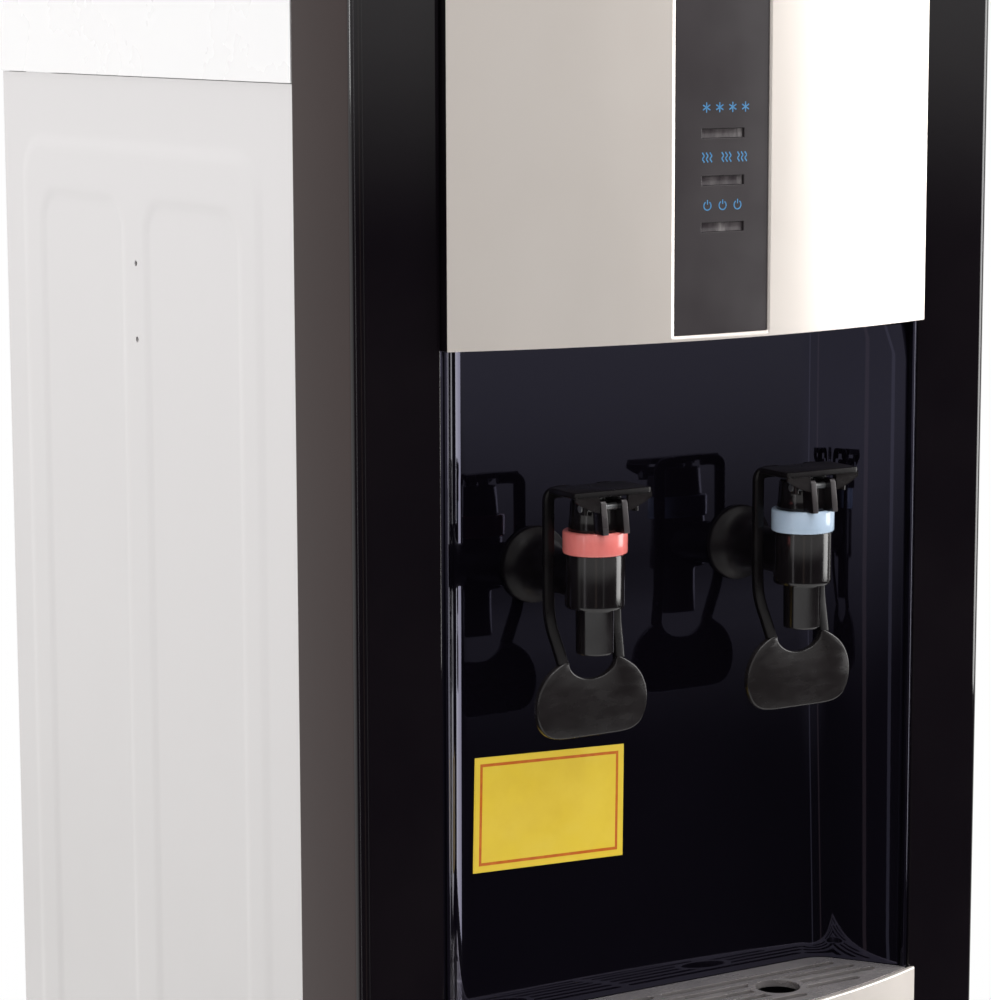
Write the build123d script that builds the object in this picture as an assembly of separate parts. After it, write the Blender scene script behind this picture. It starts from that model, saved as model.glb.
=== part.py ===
from build123d import *
import math
import os

# Free-standing bottom load water cooler.  Millimetres, +Z up, +X to the viewer's right.
# While it is modelled, Y = 0 is the front face of the side pilasters and +Y runs to the back.
# On export everything is shifted so that the origin is the middle of the footprint, on the floor.

# ---------------------------------------------------------------- driving sizes: whole machine
cabinet_width = 310.0        # over the side panels
cabinet_depth = 327.0        # pilaster face to the back edges of the side panels
front_bow = 24.0             # door and drip tray fronts ahead of the pilaster face
condenser_reach = 23.0       # condenser behind the back edges of the side panels
wall = 2.5                   # moulded plastic
sheet = 1.0                  # folded steel
seat = 0.3                   # between parts that are fastened together
play = 1.0                   # between parts that move past each other
running = 0.05               # radial clearance of a pin in its bore
return_depth = 49.2          # how far the dark front frame runs back along each side
corner_radius = 5.0          # upright front corners

# ---------------------------------------------------------------- driving sizes: heights
foot_height = 14.0
plinth_height = 22.0         # part of the base pan seen under the door
hinge_plate = 2.0            # thickness of the door hinge plates
door_gap = 0.8               # above and below the door, next to the hinge plates
door_height = 555.4
tray_height = 42.0           # front frame's lower edge to the top of the grille
niche_height = 282.0         # grille to the lower edge of the silver fascia
fascia_height = 144.0
seam_height = 102.0          # fascia's lower edge to the seam under the white top cover
cover_height = 56.0
pan_wall_height = 42.0
pan_floor = 6.0

# ---------------------------------------------------------------- driving sizes: front
fascia_half = 117.1
fascia_edge = 4.2            # fascia's upright edges ahead of the pilaster face
fascia_rise = 18.2           # its bow in plan
strip_half = 22.6            # dark indicator strip
strip_sink = 0.9
strip_lip = 2.3              # fascia left standing below the strip
window_width = 20.5
window_height = 3.8
window_levels = (44.6, 62.95, 81.5)
recess_half = 117.3          # tap recess at its mouth
recess_back_half = 91.0      # where its slanted sides would meet the back wall
recess_depth = 38.0
recess_corner = 15.0
tray_depth = 34.3
tray_half = 119.4            # bowed front of the drip tray
tray_edge = 2.3
tray_wall = 2.0
grille_thick = 3.0
slot_pitch = 7.6
slot_width = 4.0
cup_hole_radius = 9.7
cup_rim_radius = 12.5
cup_rim_rise = 1.0
cup_ring_y = 6.0
slot_rim = 4.5               # around the slots
slot_lead = 11.8             # grille's back edge to the middle of the first slot

# ---------------------------------------------------------------- driving sizes: taps
tap_spacing = 102.9
tap_axis_y = -8.0
ring_drop = 74.1             # fascia's lower edge down to the coloured ring
ring_height = 9.3
ring_radius = 13.0
barrel_radius = 12.0
barrel_height = 21.9
spout_radius = 7.6
spout_height = 18.6
spout_bore = 5.0
collar_radius = 10.8
bonnet_bore = 8.9
bonnet_height = 12.5
bonnet_top_radius = 9.4
inlet_drop = 11.0            # ring's lower edge down to the axis of the inlet tube
inlet_radius = 9.0
flange_radius = 16.0
flange_thick = 3.0
tail_radius = 8.0
tail_bore = 4.0
tail_length = 22.0
stem_radius = 3.0
plug_radius = 7.4
plate_half = 18.0            # lever's top plate
plate_thick = 2.5
plate_clear = 2.5            # over the bonnet
plate_front = 13.8           # ahead of the tap's axis
plate_back = 7.0
skirt_thick = 1.4
skirt_end = 1.1              # skirt's height at its two ends
skirt_drop = 6.9
rib_width = 2.6              # two ribs on the bonnet carry the lever pin
rib_offset = 4.95
rib_clear = 0.35             # between a rib and the cut in the skirt
rib_drop = 1.6               # ribs' top under the lever's plate
rib_foot = 15.7              # ribs' front ahead of the tap's axis at the ring
rib_head = 13.5
pivot_forward = 9.0          # lever pin ahead of the tap's axis
pivot_drop = 4.5             # below the top plate
pin_radius = 1.5
arm_half = 16.0
arm_width = 5.2
arm_thick = 3.4
arm_back = 9.4
paddle_half = 26.5
paddle_height = 31.0
paddle_thick = 2.2
paddle_forward = 1.0         # behind the tap's axis
paddle_drop = 3.1            # below the spout's mouth
notch_half = 11.3
notch_depth = 7.5

# ---------------------------------------------------------------- driving sizes: door
door_thick = 30.0
hinge_inset = 7.0            # door's hinge axis from its side and from its back
hinge_pin_radius = 3.0
hinge_pin_length = 12.0
hinge_stile = 14.0           # solid strip that holds the hinge bores
door_seal = 3.3              # behind the door, so that it can swing past a right angle
surround_side = 13.0         # each side of the bottle bay's mouth
grip_width = 20.0
grip_height = 120.0
grip_depth = 18.0
grip_level = 400.0           # door's lower edge up to the grip

# ---------------------------------------------------------------- driving sizes: cabinet
emboss = 0.8                 # height of the pressed pattern in the side panels
flange = 11.0                # folded edges of the side panels
back_inset = 10.0            # back panel ahead of the side panels' back edges
shelf_thick = 1.5
bottle_radius = 137.0
bottle_y = 175.0

# ---------------------------------------------------------------- driving sizes: water system
cold_radius = 65.0
cold_height = 160.0
cold_reach = 129.5           # its axis behind the recess
foam_radius = 98.0
foam_floor = 18.0
coil_tube = 3.5
coil_turns = 7
coil_pitch = 14.0
hot_back = 82.0              # hot tank and compressor centres ahead of the back panel
hot_share = 0.252            # of the width left for the hot jacket's radius
hot_height = 140.0
hot_rounding = 6.0
hot_foam = 15.0
hot_leg = 54.5
pipe_radius = 6.0
pipe_bore = 4.0
feed_lead = 37.0             # straight pipe before the hot tank
probe_inset = 42.9           # from the inside of the side panel
probe_y = 64.0
probe_cap_radius = 31.0        # fits over a bottle's neck
probe_cap_height = 30.0
dip_tube_radius = 6.0
dip_tube_length = 460.0
probe_drop = 44.0            # shelf down to the top of the probe's cap
pump_radius = 18.0
pump_length = 70.0

# ---------------------------------------------------------------- driving sizes: cooling system
tank_clear = 4.9             # between the hot jacket and the side panel
machine_gap = 22.0           # between the hot jacket and the compressor
riser_space = 28.9           # between the compressor and the side panel
weld_ring = 2.0
compressor_height = 140.0
grommet_height = 11.5
line_radius = 2.5
capillary_radius = 1.2
condenser_rows = 8
condenser_pitch = 34.0
condenser_half = 100.0
condenser_top = 880.0
wire_radius = 0.8
wire_count = 10
wire_pitch = 19.0

# ---------------------------------------------------------------- driving sizes: back
switch_x = (-60.0, -20.0)
switch_level = 930.0
switch_half = 7.7
switch_height = 23.0
switch_tilt = 8.0
drain_inset = 27.9           # from the inside of the side panel
drain_level = 625.0
drain_radius = 7.0
gland_x = 60.0
gland_level = 930.0
gland_radius = 9.0
gland_bore = 3.7
gland_length = 18.0

# ---------------------------------------------------------------- places that follow
half_width = cabinet_width / 2
panel_face = half_width - emboss              # flat of the side panels
panel_inside = panel_face - sheet
inside_half = panel_inside - seat
neck_half = panel_face - flange - seat        # between the front folds of the side panels
flange_y = return_depth + seat                # front flanges of the side panels
plinth_top = foot_height + plinth_height
door_bottom = plinth_top + hinge_plate + door_gap
door_top = door_bottom + door_height
bracket_z = door_top + door_gap               # under the upper hinge plate
frame_bottom = bracket_z + hinge_plate + seat
shelf_z = bracket_z - shelf_thick
grille_top = frame_bottom + tray_height
niche_roof = grille_top + niche_height
seam_z = niche_roof + seam_height
cabinet_top = seam_z + cover_height
frame_top = cabinet_top - 4.0
pan_top = foot_height + pan_wall_height
back_y = cabinet_depth - back_inset           # front face of the back panel
back_face = back_y + sheet
niche_back = recess_depth + wall
surround_half = half_width - surround_side
machine_span = 2 * inside_half - tank_clear - machine_gap - riser_space
hot_outer = machine_span * hot_share
hot_radius = hot_outer - hot_foam
hot_x = hot_outer + tank_clear - inside_half
compressor_radius = machine_span / 2 - hot_outer - weld_ring
compressor_x = inside_half - riser_space - compressor_radius - weld_ring
inner_y = back_y - hot_back
cold_y = niche_back + cold_reach
drain_x = drain_inset - inside_half
probe_x = inside_half - probe_inset
tap_x = tap_spacing / 2
ring_top = niche_roof - ring_drop
ring_bottom = ring_top - ring_height
barrel_bottom = ring_bottom - barrel_height
spout_bottom = barrel_bottom - spout_height
valve_z = barrel_bottom + 4.0                 # valve seat inside the tap
bonnet_top = ring_top + bonnet_height
inlet_z = ring_bottom - inlet_drop
wall_bend = inlet_z - flange_radius - 1       # recess wall leans forward below this
plate_bottom = bonnet_top + plate_clear
pivot_z = plate_bottom - pivot_drop
pivot_y = tap_axis_y - pivot_forward
paddle_top = spout_bottom - paddle_drop
tail_end = recess_depth - seat + tail_length
tray_top = grille_top - grille_thick
hinge_x = -half_width + hinge_inset
hinge_y = door_thick - hinge_inset
tank_bracket_z = shelf_z + shelf_thick + 220.5
cold_bottom = tank_bracket_z + sheet + foam_floor
cold_top = cold_bottom + cold_height
foam_top = cold_top + foam_floor
shelf_top = shelf_z + shelf_thick
hot_bottom = shelf_top + hot_leg
hot_top = hot_bottom + hot_height
compressor_z = shelf_top + grommet_height
condenser_y = cabinet_depth + condenser_reach - line_radius - 2 * wire_radius - 0.1
condenser_end = surround_half - line_radius - play
probe_top = shelf_z - probe_drop
pump_z = shelf_top + 8.5 + pump_radius
overall_depth = front_bow + cabinet_depth + condenser_reach
centre = Pos(0, front_bow - overall_depth / 2, 0)


# ---------------------------------------------------------------- helpers
def block(x0, x1, y0, y1, z0, z1):
    """A box between two corners."""
    middle = Pos((x0 + x1) / 2, (y0 + y1) / 2, (z0 + z1) / 2)
    return middle * Box(x1 - x0, y1 - y0, z1 - z0)


def rod(radius, start, end):
    """A round bar from one point to another."""
    line = Vector(*end) - Vector(*start)
    base = Plane(origin=start, z_dir=line)
    return base * Cylinder(radius, line.length, align=(Align.CENTER, Align.CENTER, Align.MIN))


def pipe(points, radius, bore, bend):
    """A round tube along straight runs joined by bends."""
    path = FilletPolyline(*points, radius=bend)
    section = Plane(origin=path @ 0, z_dir=path % 0)
    ring = Circle(radius)
    if bore:
        ring -= Circle(bore)
    return sweep(section * ring, path=path)


def lay(plan, z0, z1):
    """A flat plan made into a solid between two heights."""
    return Pos(0, 0, z0) * extrude(plan, amount=z1 - z0)


def bowed(half, edge, rise, inset, back, z0, z1):
    """A solid with a front that bows forward in plan; inset moves the bow inwards."""
    radius = (half ** 2 + rise ** 2) / (2 * rise)
    axis_y = radius - rise - edge
    side = half - inset
    solid = Pos(0, axis_y, (z0 + z1) / 2) * Cylinder(radius - inset, z1 - z0)
    return solid & block(-side, side, -edge - rise - 1, back, z0, z1)


def recess_plan(depth, inset):
    """Plan of the recess: slanted sides, a straight back and rounded back corners."""
    slope = (recess_half - recess_back_half) / recess_depth
    sideways = inset * math.hypot(1, slope)
    back = depth - inset
    mouth = recess_half - sideways
    far = recess_half - slope * back - sideways
    plan = make_face(Polyline((-mouth, 0), (mouth, 0), (far, back), (-far, back), close=True))
    return fillet(plan.vertices().sort_by(Axis.Y)[-2:], recess_corner - inset)


def both(solid):
    """The solid and its mirror image across the machine's middle."""
    return [solid, mirror(solid, about=Plane.YZ)]


def group(solids):
    """Separate solids that share one node."""
    return Compound(list(solids))


# ---------------------------------------------------------------- cabinet
def base_pan():
    plinth = block(-half_width + 0.5, half_width - 0.5, 3, return_depth, foot_height, plinth_top)
    rear = block(-inside_half, inside_half, flange_y + sheet + seat, back_y - seat,
                 foot_height, pan_top)
    neck = block(-neck_half, neck_half, return_depth - 1, flange_y + 2, foot_height, plinth_top)
    cavity = block(-neck_half + wall, neck_half - wall, 3 + 2 * wall, back_y - seat - wall,
                   foot_height + pan_floor, pan_top + 1)
    return plinth + neck + rear - cavity


def rubber_feet():
    pad = Cylinder(17, foot_height, align=(Align.CENTER, Align.CENTER, Align.MIN))
    pad = chamfer(pad.edges().sort_by(Axis.Z)[0], 2)
    inset_x = half_width - 35
    places = [(x, y) for x in (-inset_x, inset_x) for y in (40, back_y - 25)]
    return group(Pos(x, y, 0) * pad for x, y in places)


def pressed_plan(grow):
    """Raised border of a side panel's pressed pattern, seen from the side (Y, Z)."""
    low = 90.0
    border = Pos(197.5, (low + niche_roof + 72) / 2) * RectangleRounded(
        255 + 2 * grow, niche_roof + 72 - low + 2 * grow, 16 + grow)
    for y0, y1 in ((98.0, 188.5), (215.0, 292.0)):
        bottom = low + 22
        top = niche_roof + 54
        border -= Pos((y0 + y1) / 2, (bottom + top) / 2) * RectangleRounded(
            y1 - y0 - 2 * grow, top - bottom - 2 * grow, 14 - grow)
    return border


def right_side_panel():
    bottom = foot_height + 16
    top = seam_z - seat
    skin = block(panel_inside, panel_face, flange_y, cabinet_depth, bottom, top)
    front_fold = block(panel_face - flange, panel_face, flange_y, flange_y + sheet, bottom, top)
    back_fold = block(panel_face - flange, panel_face, cabinet_depth - sheet, cabinet_depth,
                      bottom, top)
    raised = Pos(panel_inside, 0, 0) * extrude(Plane.YZ * pressed_plan(0), amount=sheet + emboss)
    hollow = Pos(panel_inside, 0, 0) * extrude(Plane.YZ * pressed_plan(-sheet), amount=emboss)
    panel = skin + front_fold + back_fold + raised - hollow
    for drop in (22.9, -9.6):
        level = niche_roof + drop
        panel -= rod(1.3, (panel_inside - 1, 197.5, level), (half_width + 1, 197.5, level))
    return panel


def back_panel():
    bottom = foot_height + 16
    top = seam_z - seat - play
    skin = block(-inside_half, inside_half, back_y, back_face, bottom, top)
    for solid in both(block(inside_half - sheet, inside_half, back_y, cabinet_depth - sheet - seat,
                            bottom, top)):
        skin += solid
    for row in range(8):
        z = shelf_top + 30 + 14 * row
        for x in (-60, 0, 60):
            skin -= block(x - 24, x + 24, back_y - 1, back_face + 1, z, z + 5)
    for x in switch_x:
        skin -= block(x - 10.8, x + 10.8, back_y - 1, back_face + 1,
                      switch_level - 14.8, switch_level + 14.8)
    for x, z, radius in ((drain_x, drain_level, drain_radius), (gland_x, gland_level, gland_radius)):
        skin -= rod(radius + 0.2, (x, back_y - 1, z), (x, back_face + 1, z))
    for row in (0, condenser_rows - 1):
        z = condenser_top - row * condenser_pitch
        skin -= rod(line_radius + play, (condenser_end, back_y - 1, z),
                    (condenser_end, back_face + 1, z))
    return skin


def cover_block(inset, front, bottom):
    """Outer form of the top cover, or its hollow, with the back edge rolled over."""
    side = half_width - inset
    rear = cabinet_depth - inset
    top = cabinet_top - inset
    height = top - bottom
    profile = Pos((front + rear) / 2, bottom + height / 2) * Rectangle(rear - front, height)
    profile = fillet(profile.vertices().group_by(Axis.Y)[-1].sort_by(Axis.X)[-1], 42 - inset)
    along = Pos(-side, 0, 0) * extrude(Plane.YZ * profile, amount=2 * side)
    face = Pos(0, bottom + height / 2) * Rectangle(2 * side, height)
    face = fillet(face.vertices().group_by(Axis.Y)[-1], 9 - inset)
    across = Pos(0, rear, 0) * extrude(Plane.XZ * face, amount=rear - front)
    return along & across


def top_cover():
    return cover_block(0, flange_y, seam_z) - cover_block(wall, flange_y - 1, seam_z - 1)


def mid_shelf():
    plate = block(-inside_half, inside_half, flange_y + sheet + seat, back_y - seat,
                  shelf_z, shelf_top)
    for solid in both(block(inside_half - shelf_thick, inside_half, flange_y + sheet + seat,
                            back_y - seat, shelf_z - 15, shelf_top)):
        plate += solid
    return plate - rod(pipe_radius + 1, (probe_x, probe_y, shelf_z - 1),
                       (probe_x, probe_y, shelf_top + 1))


def door_surround():
    bottom = plinth_top + hinge_plate
    ring = block(-half_width, half_width, door_thick + door_seal, return_depth, bottom, bracket_z)
    return ring - block(-surround_half, surround_half, 0, return_depth + 1,
                        bottom - 1, bracket_z - 10)


def door_magnet():
    x = (surround_half + half_width) / 2
    level = (door_bottom + door_top) / 2
    return block(x - 4, x + 4, door_thick + seat, door_thick + door_seal, level - 20, level + 20)


def plan_with_corners(depth, inset):
    """Plan of the front frame or door with its upright front corners rounded."""
    side = half_width - inset
    plan = Pos(0, (inset + depth) / 2) * Rectangle(2 * side, depth - inset)
    return fillet(plan.vertices().group_by(Axis.Y)[0], corner_radius - inset)


def front_frame():
    shell = lay(plan_with_corners(return_depth, 0), frame_bottom, frame_top)
    shell -= lay(plan_with_corners(return_depth + 1, wall), frame_bottom + wall, frame_top - wall)
    mouth = block(-recess_half, recess_half, -1, wall + 1,
                  frame_bottom + wall, niche_roof + fascia_height + seat)
    return shell - mouth


# ---------------------------------------------------------------- front
def fascia_panel():
    top = niche_roof + fascia_height
    back = wall + seat + wall
    shell = bowed(fascia_half, fascia_edge, fascia_rise, 0, back, niche_roof, top)
    shell += block(-fascia_half - 10, fascia_half + 10, wall + seat, back, niche_roof, top)
    shell -= bowed(fascia_half, fascia_edge, fascia_rise, wall, back + 1,
                   niche_roof + wall, top - wall)
    slot = block(-strip_half - seat, strip_half + seat, -fascia_edge - fascia_rise - 1, 0,
                 niche_roof + strip_lip, top - strip_lip)
    return shell - slot


def strip_sector(half, shallow, deep, z0, z1):
    """A slab that follows the fascia's bow between two depths behind its face."""
    outer = bowed(fascia_half, fascia_edge, fascia_rise, shallow, 0, z0, z1)
    inner = bowed(fascia_half, fascia_edge, fascia_rise, deep, 1, z0 - 1, z1 + 1)
    return (outer - inner) & block(-half, half, -fascia_edge - fascia_rise, 0, z0, z1)


strip_bottom = niche_roof + strip_lip + seat
strip_top = niche_roof + fascia_height - strip_lip - seat
strip_back = strip_sink + 2.6
board_lead = 7.5             # strip's back to the indicator board
board_y = strip_back - fascia_edge - fascia_rise + board_lead


def indicator_strip():
    strip = strip_sector(strip_half, strip_sink, strip_back, strip_bottom, strip_top)
    strip += strip_sector(strip_half + 5, wall + 0.1, strip_back, strip_bottom, strip_top)
    for level in window_levels:
        z = niche_roof + level
        strip -= block(-window_width / 2, window_width / 2, -fascia_edge - fascia_rise - 1, 0,
                       z - window_height / 2, z + window_height / 2)
    for x in (-16, 16):
        for z in (niche_roof + 25, niche_roof + 105):
            strip += rod(2.5, (x, board_y, z), (x, board_y - board_lead, z))
    return strip


def indicator_lenses():
    lenses = []
    for level in window_levels:
        z = niche_roof + level
        edge = window_height / 2 - 0.1
        lenses.append(strip_sector(window_width / 2 - 0.1, strip_sink + 0.6, strip_back,
                                   z - edge, z + edge))
    return group(lenses)


def circuit_boards():
    board = block(-20, 20, board_y, board_y + 1.6, niche_roof + 18, niche_roof + 112)
    for level in window_levels:
        z = niche_roof + level
        board += rod(2.5, (0, board_y, z), (0, board_y - 6, z))
    floor = niche_roof + wall
    control = block(-100, 20, 8, 38, floor + 6, floor + 7.6)
    for x, y in ((-96, 12), (-96, 34), (16, 12), (16, 34)):
        control += rod(2, (x, y, floor), (x, y, floor + 6))
    control += block(-92, -62, 12, 34, floor + 7.6, floor + 30)
    control += block(-50, -34, 14, 30, floor + 7.6, floor + 23)
    control += block(-26, -10, 14, 30, floor + 7.6, floor + 23)
    return group([board, control])


def niche_shell():
    front = -0.4
    body = block(-recess_half + seat, recess_half - seat, front, niche_back,
                 frame_bottom + wall + seat, niche_roof - seat)
    body += block(-recess_half + seat, recess_half - seat, 2 * wall + 2 * seat, niche_back,
                  niche_roof - seat, niche_roof + wall)
    body += block(-recess_half - 12, recess_half + 12, wall + seat, 2 * wall,
                  frame_bottom + wall + seat, niche_roof - seat)
    pocket_floor = frame_bottom + 2 * wall + seat
    upper = Pos(0, front) * recess_plan(recess_depth - front, 0)
    lower = Pos(0, front) * recess_plan(tray_depth - front, 0)
    body -= lay(upper, wall_bend, niche_roof)
    body -= loft([Pos(0, 0, grille_top) * lower, Pos(0, 0, wall_bend) * upper])
    body -= lay(lower, pocket_floor, grille_top)
    body -= block(-recess_half, recess_half, front - 1, front + 0.1, grille_top, niche_roof)
    for x in (-tap_x, tap_x):
        body -= rod(tail_radius + 0.2, (x, recess_depth - 1, inlet_z), (x, niche_back + 1, inlet_z))
    return body


# ---------------------------------------------------------------- drip tray
def tray_plan(inset):
    """Plan of the tray: the recess plus the bow in front of it."""
    rise = front_bow - tray_edge
    radius = (tray_half ** 2 + rise ** 2) / (2 * rise)
    side = tray_half - wall - seat - inset - 2
    bow = Pos(0, radius - front_bow) * Circle(radius - wall - seat - inset)
    bow &= Pos(0, -front_bow / 2 + 1) * Rectangle(2 * side, front_bow + 2)
    return bow + recess_plan(tray_depth, play + inset)


def drip_tray():
    floor = frame_bottom + 2 * wall + 2 * seat
    tray = lay(tray_plan(0), floor, tray_top)
    return tray - lay(tray_plan(tray_wall), floor + tray_wall, tray_top + 1)


def tray_front():
    rise = front_bow - tray_edge
    bottom = frame_bottom + wall
    shell = bowed(tray_half, tray_edge, rise, 0, -0.5, bottom, grille_top)
    shell -= bowed(tray_half, tray_edge, rise, wall, 0, bottom + wall, grille_top + 1)
    return shell


def cup_ring_places():
    return [(-tap_x, cup_ring_y), (tap_x, cup_ring_y)]


def drip_grille():
    plate = lay(tray_plan(0), tray_top, grille_top)
    rim = lay(tray_plan(slot_rim), tray_top, grille_top)
    slots = []
    count = int((tray_depth + front_bow) / slot_pitch)
    first = tray_depth - play - slot_lead
    for row in range(count):
        y = first - row * slot_pitch
        slots += both(block(2, recess_half, y - slot_width / 2, y + slot_width / 2,
                            tray_top - 1, grille_top + 1))
    cut = (Part() + slots) & rim
    for x, y in cup_ring_places():
        cut -= Pos(x, y, grille_top) * Cylinder(cup_rim_radius, 20)
    plate -= cut
    for x, y in cup_ring_places():
        plate += Pos(x, y, grille_top - 0.5) * Cylinder(cup_rim_radius, cup_rim_rise)
        plate -= Pos(x, y, grille_top) * Cylinder(cup_hole_radius, 20)
    return plate


# ---------------------------------------------------------------- door
def door_frame():
    shell = lay(plan_with_corners(door_thick, 0), door_bottom, door_top)
    rear_left = shell.edges().filter_by(Axis.Z).sort_by(Axis.X)
    rear_left = rear_left.filter_by(lambda e: e.center().Y > door_thick - 1)[0]
    shell = fillet(rear_left, hinge_inset - 0.1)
    shell -= block(-half_width + hinge_stile, half_width - wall, wall, door_thick + 1,
                   door_bottom + wall, door_top - wall)
    grip_x = (recess_half + half_width) / 2
    z0 = door_bottom + grip_level
    z1 = z0 + grip_height
    side = grip_width / 2
    shell += block(grip_x - side - 2, grip_x + side + 2, 1, grip_depth + 2, z0 - 2, z1 + 2)
    shell -= block(grip_x - side, grip_x + side, -1, grip_depth, z0, z1)
    bore = hinge_pin_radius + running
    depth = hinge_pin_length + play
    for z0, z1 in ((door_bottom - 1, door_bottom + depth), (door_top - depth, door_top + 1)):
        shell -= rod(bore, (hinge_x, hinge_y, z0), (hinge_x, hinge_y, z1))
    return shell


def door_skin():
    rise = front_bow - tray_edge
    z0 = door_bottom + 4
    z1 = door_top - 4
    shell = bowed(recess_half, tray_edge, rise, 0, 0, z0, z1)
    return shell - bowed(recess_half, tray_edge, rise, wall, 1, z0 + wall, z1 - wall)


def door_liner():
    x0 = -half_width + hinge_stile + seat
    x1 = half_width - wall - seat
    z0 = door_bottom + wall + seat
    z1 = door_top - wall - seat
    liner = block(x0, x1, door_thick - 2, door_thick, z0, z1)
    for x in (-90, 0, 90):
        liner += block(x - 1, x + 1, wall + seat, door_thick - 2, z0 + 10, z1 - 10)
    return liner


def door_hinges():
    solids = []
    for z0, tip in ((plinth_top, 1), (bracket_z, -1)):
        plate = block(-half_width + 1, -half_width + 38, hinge_y - 6, return_depth - 1,
                      z0, z0 + hinge_plate)
        face = z0 + hinge_plate if tip > 0 else z0
        plate += rod(hinge_pin_radius, (hinge_x, hinge_y, face - tip),
                     (hinge_x, hinge_y, face + tip * (door_gap + hinge_pin_length)))
        solids.append(plate)
    return group(solids)


# ---------------------------------------------------------------- taps
def tap_body(x):
    y = tap_axis_y
    body = rod(barrel_radius, (x, y, barrel_bottom), (x, y, ring_bottom))
    body += rod(collar_radius, (x, y, ring_bottom), (x, y, ring_top - seat))
    body += rod(spout_radius, (x, y, spout_bottom), (x, y, barrel_bottom))
    wall_y = recess_depth - seat
    body += rod(inlet_radius, (x, y, inlet_z), (x, wall_y, inlet_z))
    trumpet = Cone(inlet_radius, flange_radius, 8)
    body += Pos(x, wall_y - flange_thick - 4, inlet_z) * Rot(-90, 0, 0) * trumpet
    body += rod(flange_radius, (x, wall_y - flange_thick, inlet_z), (x, wall_y, inlet_z))
    body += rod(tail_radius, (x, wall_y, inlet_z), (x, tail_end, inlet_z))
    body -= rod(bonnet_bore, (x, y, valve_z), (x, y, ring_top + 1))
    body -= rod(spout_bore, (x, y, spout_bottom - 1), (x, y, valve_z + 1))
    return body - rod(tail_bore, (x, y, inlet_z), (x, tail_end + 1, inlet_z))


def tap_ring(x):
    ring = rod(ring_radius, (x, tap_axis_y, ring_bottom), (x, tap_axis_y, ring_top))
    ring = fillet(ring.edges().filter_by(GeomType.CIRCLE), 0.6)
    return ring - rod(collar_radius + 0.1, (x, tap_axis_y, ring_bottom - 1),
                      (x, tap_axis_y, ring_top + 1))


def tap_bonnet(x):
    y = tap_axis_y
    cone = Cone(collar_radius, bonnet_top_radius, bonnet_height,
                align=(Align.CENTER, Align.CENTER, Align.MIN))
    bonnet = Pos(x, y, ring_top) * cone
    bonnet += rod(bonnet_bore - running, (x, y, ring_bottom + 1), (x, y, ring_top))
    foot = ring_top + seat
    head = plate_bottom - rib_drop
    side = make_face(Polyline((y, foot), (y - rib_foot, foot), (y - rib_head, head), (y, head),
                              close=True))
    for offset in (-rib_offset, rib_offset):
        plane = Plane(origin=(x + offset - rib_width / 2, 0, 0), x_dir=(0, 1, 0), z_dir=(1, 0, 0))
        bonnet += extrude(plane * side, amount=rib_width)
    bonnet -= rod(plug_radius - 1, (x, y, ring_bottom), (x, y, bonnet_top - 5))
    bonnet -= rod(stem_radius + running, (x, y, ring_bottom), (x, y, bonnet_top + 1))
    return bonnet - rod(pin_radius + 0.01, (x - 20, pivot_y, pivot_z), (x + 20, pivot_y, pivot_z))


def paddle_plan():
    """Outline of the push paddle, seen from the front, about the tap's axis."""
    top = paddle_top
    low = top - paddle_height
    shoulder = notch_half + 0.7
    belly = top - paddle_height / 2
    right = [Line((notch_half, top), (shoulder, top)),
             ThreePointArc((shoulder, top), (paddle_half - 3.2, top - 6), (paddle_half, belly)),
             ThreePointArc((paddle_half, belly), (paddle_half - 2, low + 7), (paddle_half - 9, low))]
    left = [mirror(edge, about=Plane.YZ) for edge in right]
    floor = Line((paddle_half - 9, low), (9 - paddle_half, low))
    notch = ThreePointArc((-notch_half, top), (0, top - notch_depth), (notch_half, top))
    return make_face(Curve() + right + left + [floor, notch])


def tap_lever(x):
    y = tap_axis_y
    front = y - plate_front
    lever = block(x - plate_half, x + plate_half, front, y + plate_back,
                  plate_bottom, plate_bottom + plate_thick)
    ends = Polyline((-plate_half, -skirt_end), (-plate_half, 1), (plate_half, 1),
                    (plate_half, -skirt_end))
    sweep_edge = ThreePointArc((plate_half, -skirt_end), (0, -skirt_drop), (-plate_half, -skirt_end))
    plane = Plane(origin=(x, front, plate_bottom), x_dir=(1, 0, 0), z_dir=(0, -1, 0))
    lever += extrude(plane * make_face(Curve() + [ends, sweep_edge]), amount=-skirt_thick)
    gap = rib_offset + rib_width / 2 + rib_clear
    lever -= block(x - gap, x + gap, front - 1, y, plate_bottom - skirt_drop - 1, plate_bottom)
    for side in (-1, 1):
        inner = x + side * 11.9
        lever += block(inner - 1, inner + 1, pivot_y - 3.2, pivot_y + 2.5,
                       pivot_z - 2.5, plate_bottom + 1)
        edge = x + side * arm_half
        low = x + side * (arm_half - 3)
        shoulder_z = plate_bottom + plate_thick - arm_thick / 2
        path = FilletPolyline((edge, y - 4, shoulder_z), (edge, y + arm_back, shoulder_z),
                              (edge, y + arm_back, spout_bottom + 16),
                              (low, y + paddle_forward + paddle_thick, paddle_top - 3),
                              radius=6)
        section = Plane(origin=path @ 0, x_dir=(1, 0, 0), z_dir=path % 0)
        lever += sweep(section * Rectangle(arm_width, arm_thick), path=path)
    paddle = Plane(origin=(x, y + paddle_forward, 0), x_dir=(1, 0, 0), z_dir=(0, -1, 0))
    lever += extrude(paddle * paddle_plan(), amount=-paddle_thick)
    return lever - rod(pin_radius + running, (x - 20, pivot_y, pivot_z), (x + 20, pivot_y, pivot_z))


def tap_stem(x):
    y = tap_axis_y
    stem = rod(stem_radius, (x, y, valve_z + 1), (x, y, plate_bottom - 1))
    return stem + rod(plug_radius, (x, y, valve_z + 0.1), (x, y, valve_z + 4))


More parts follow.
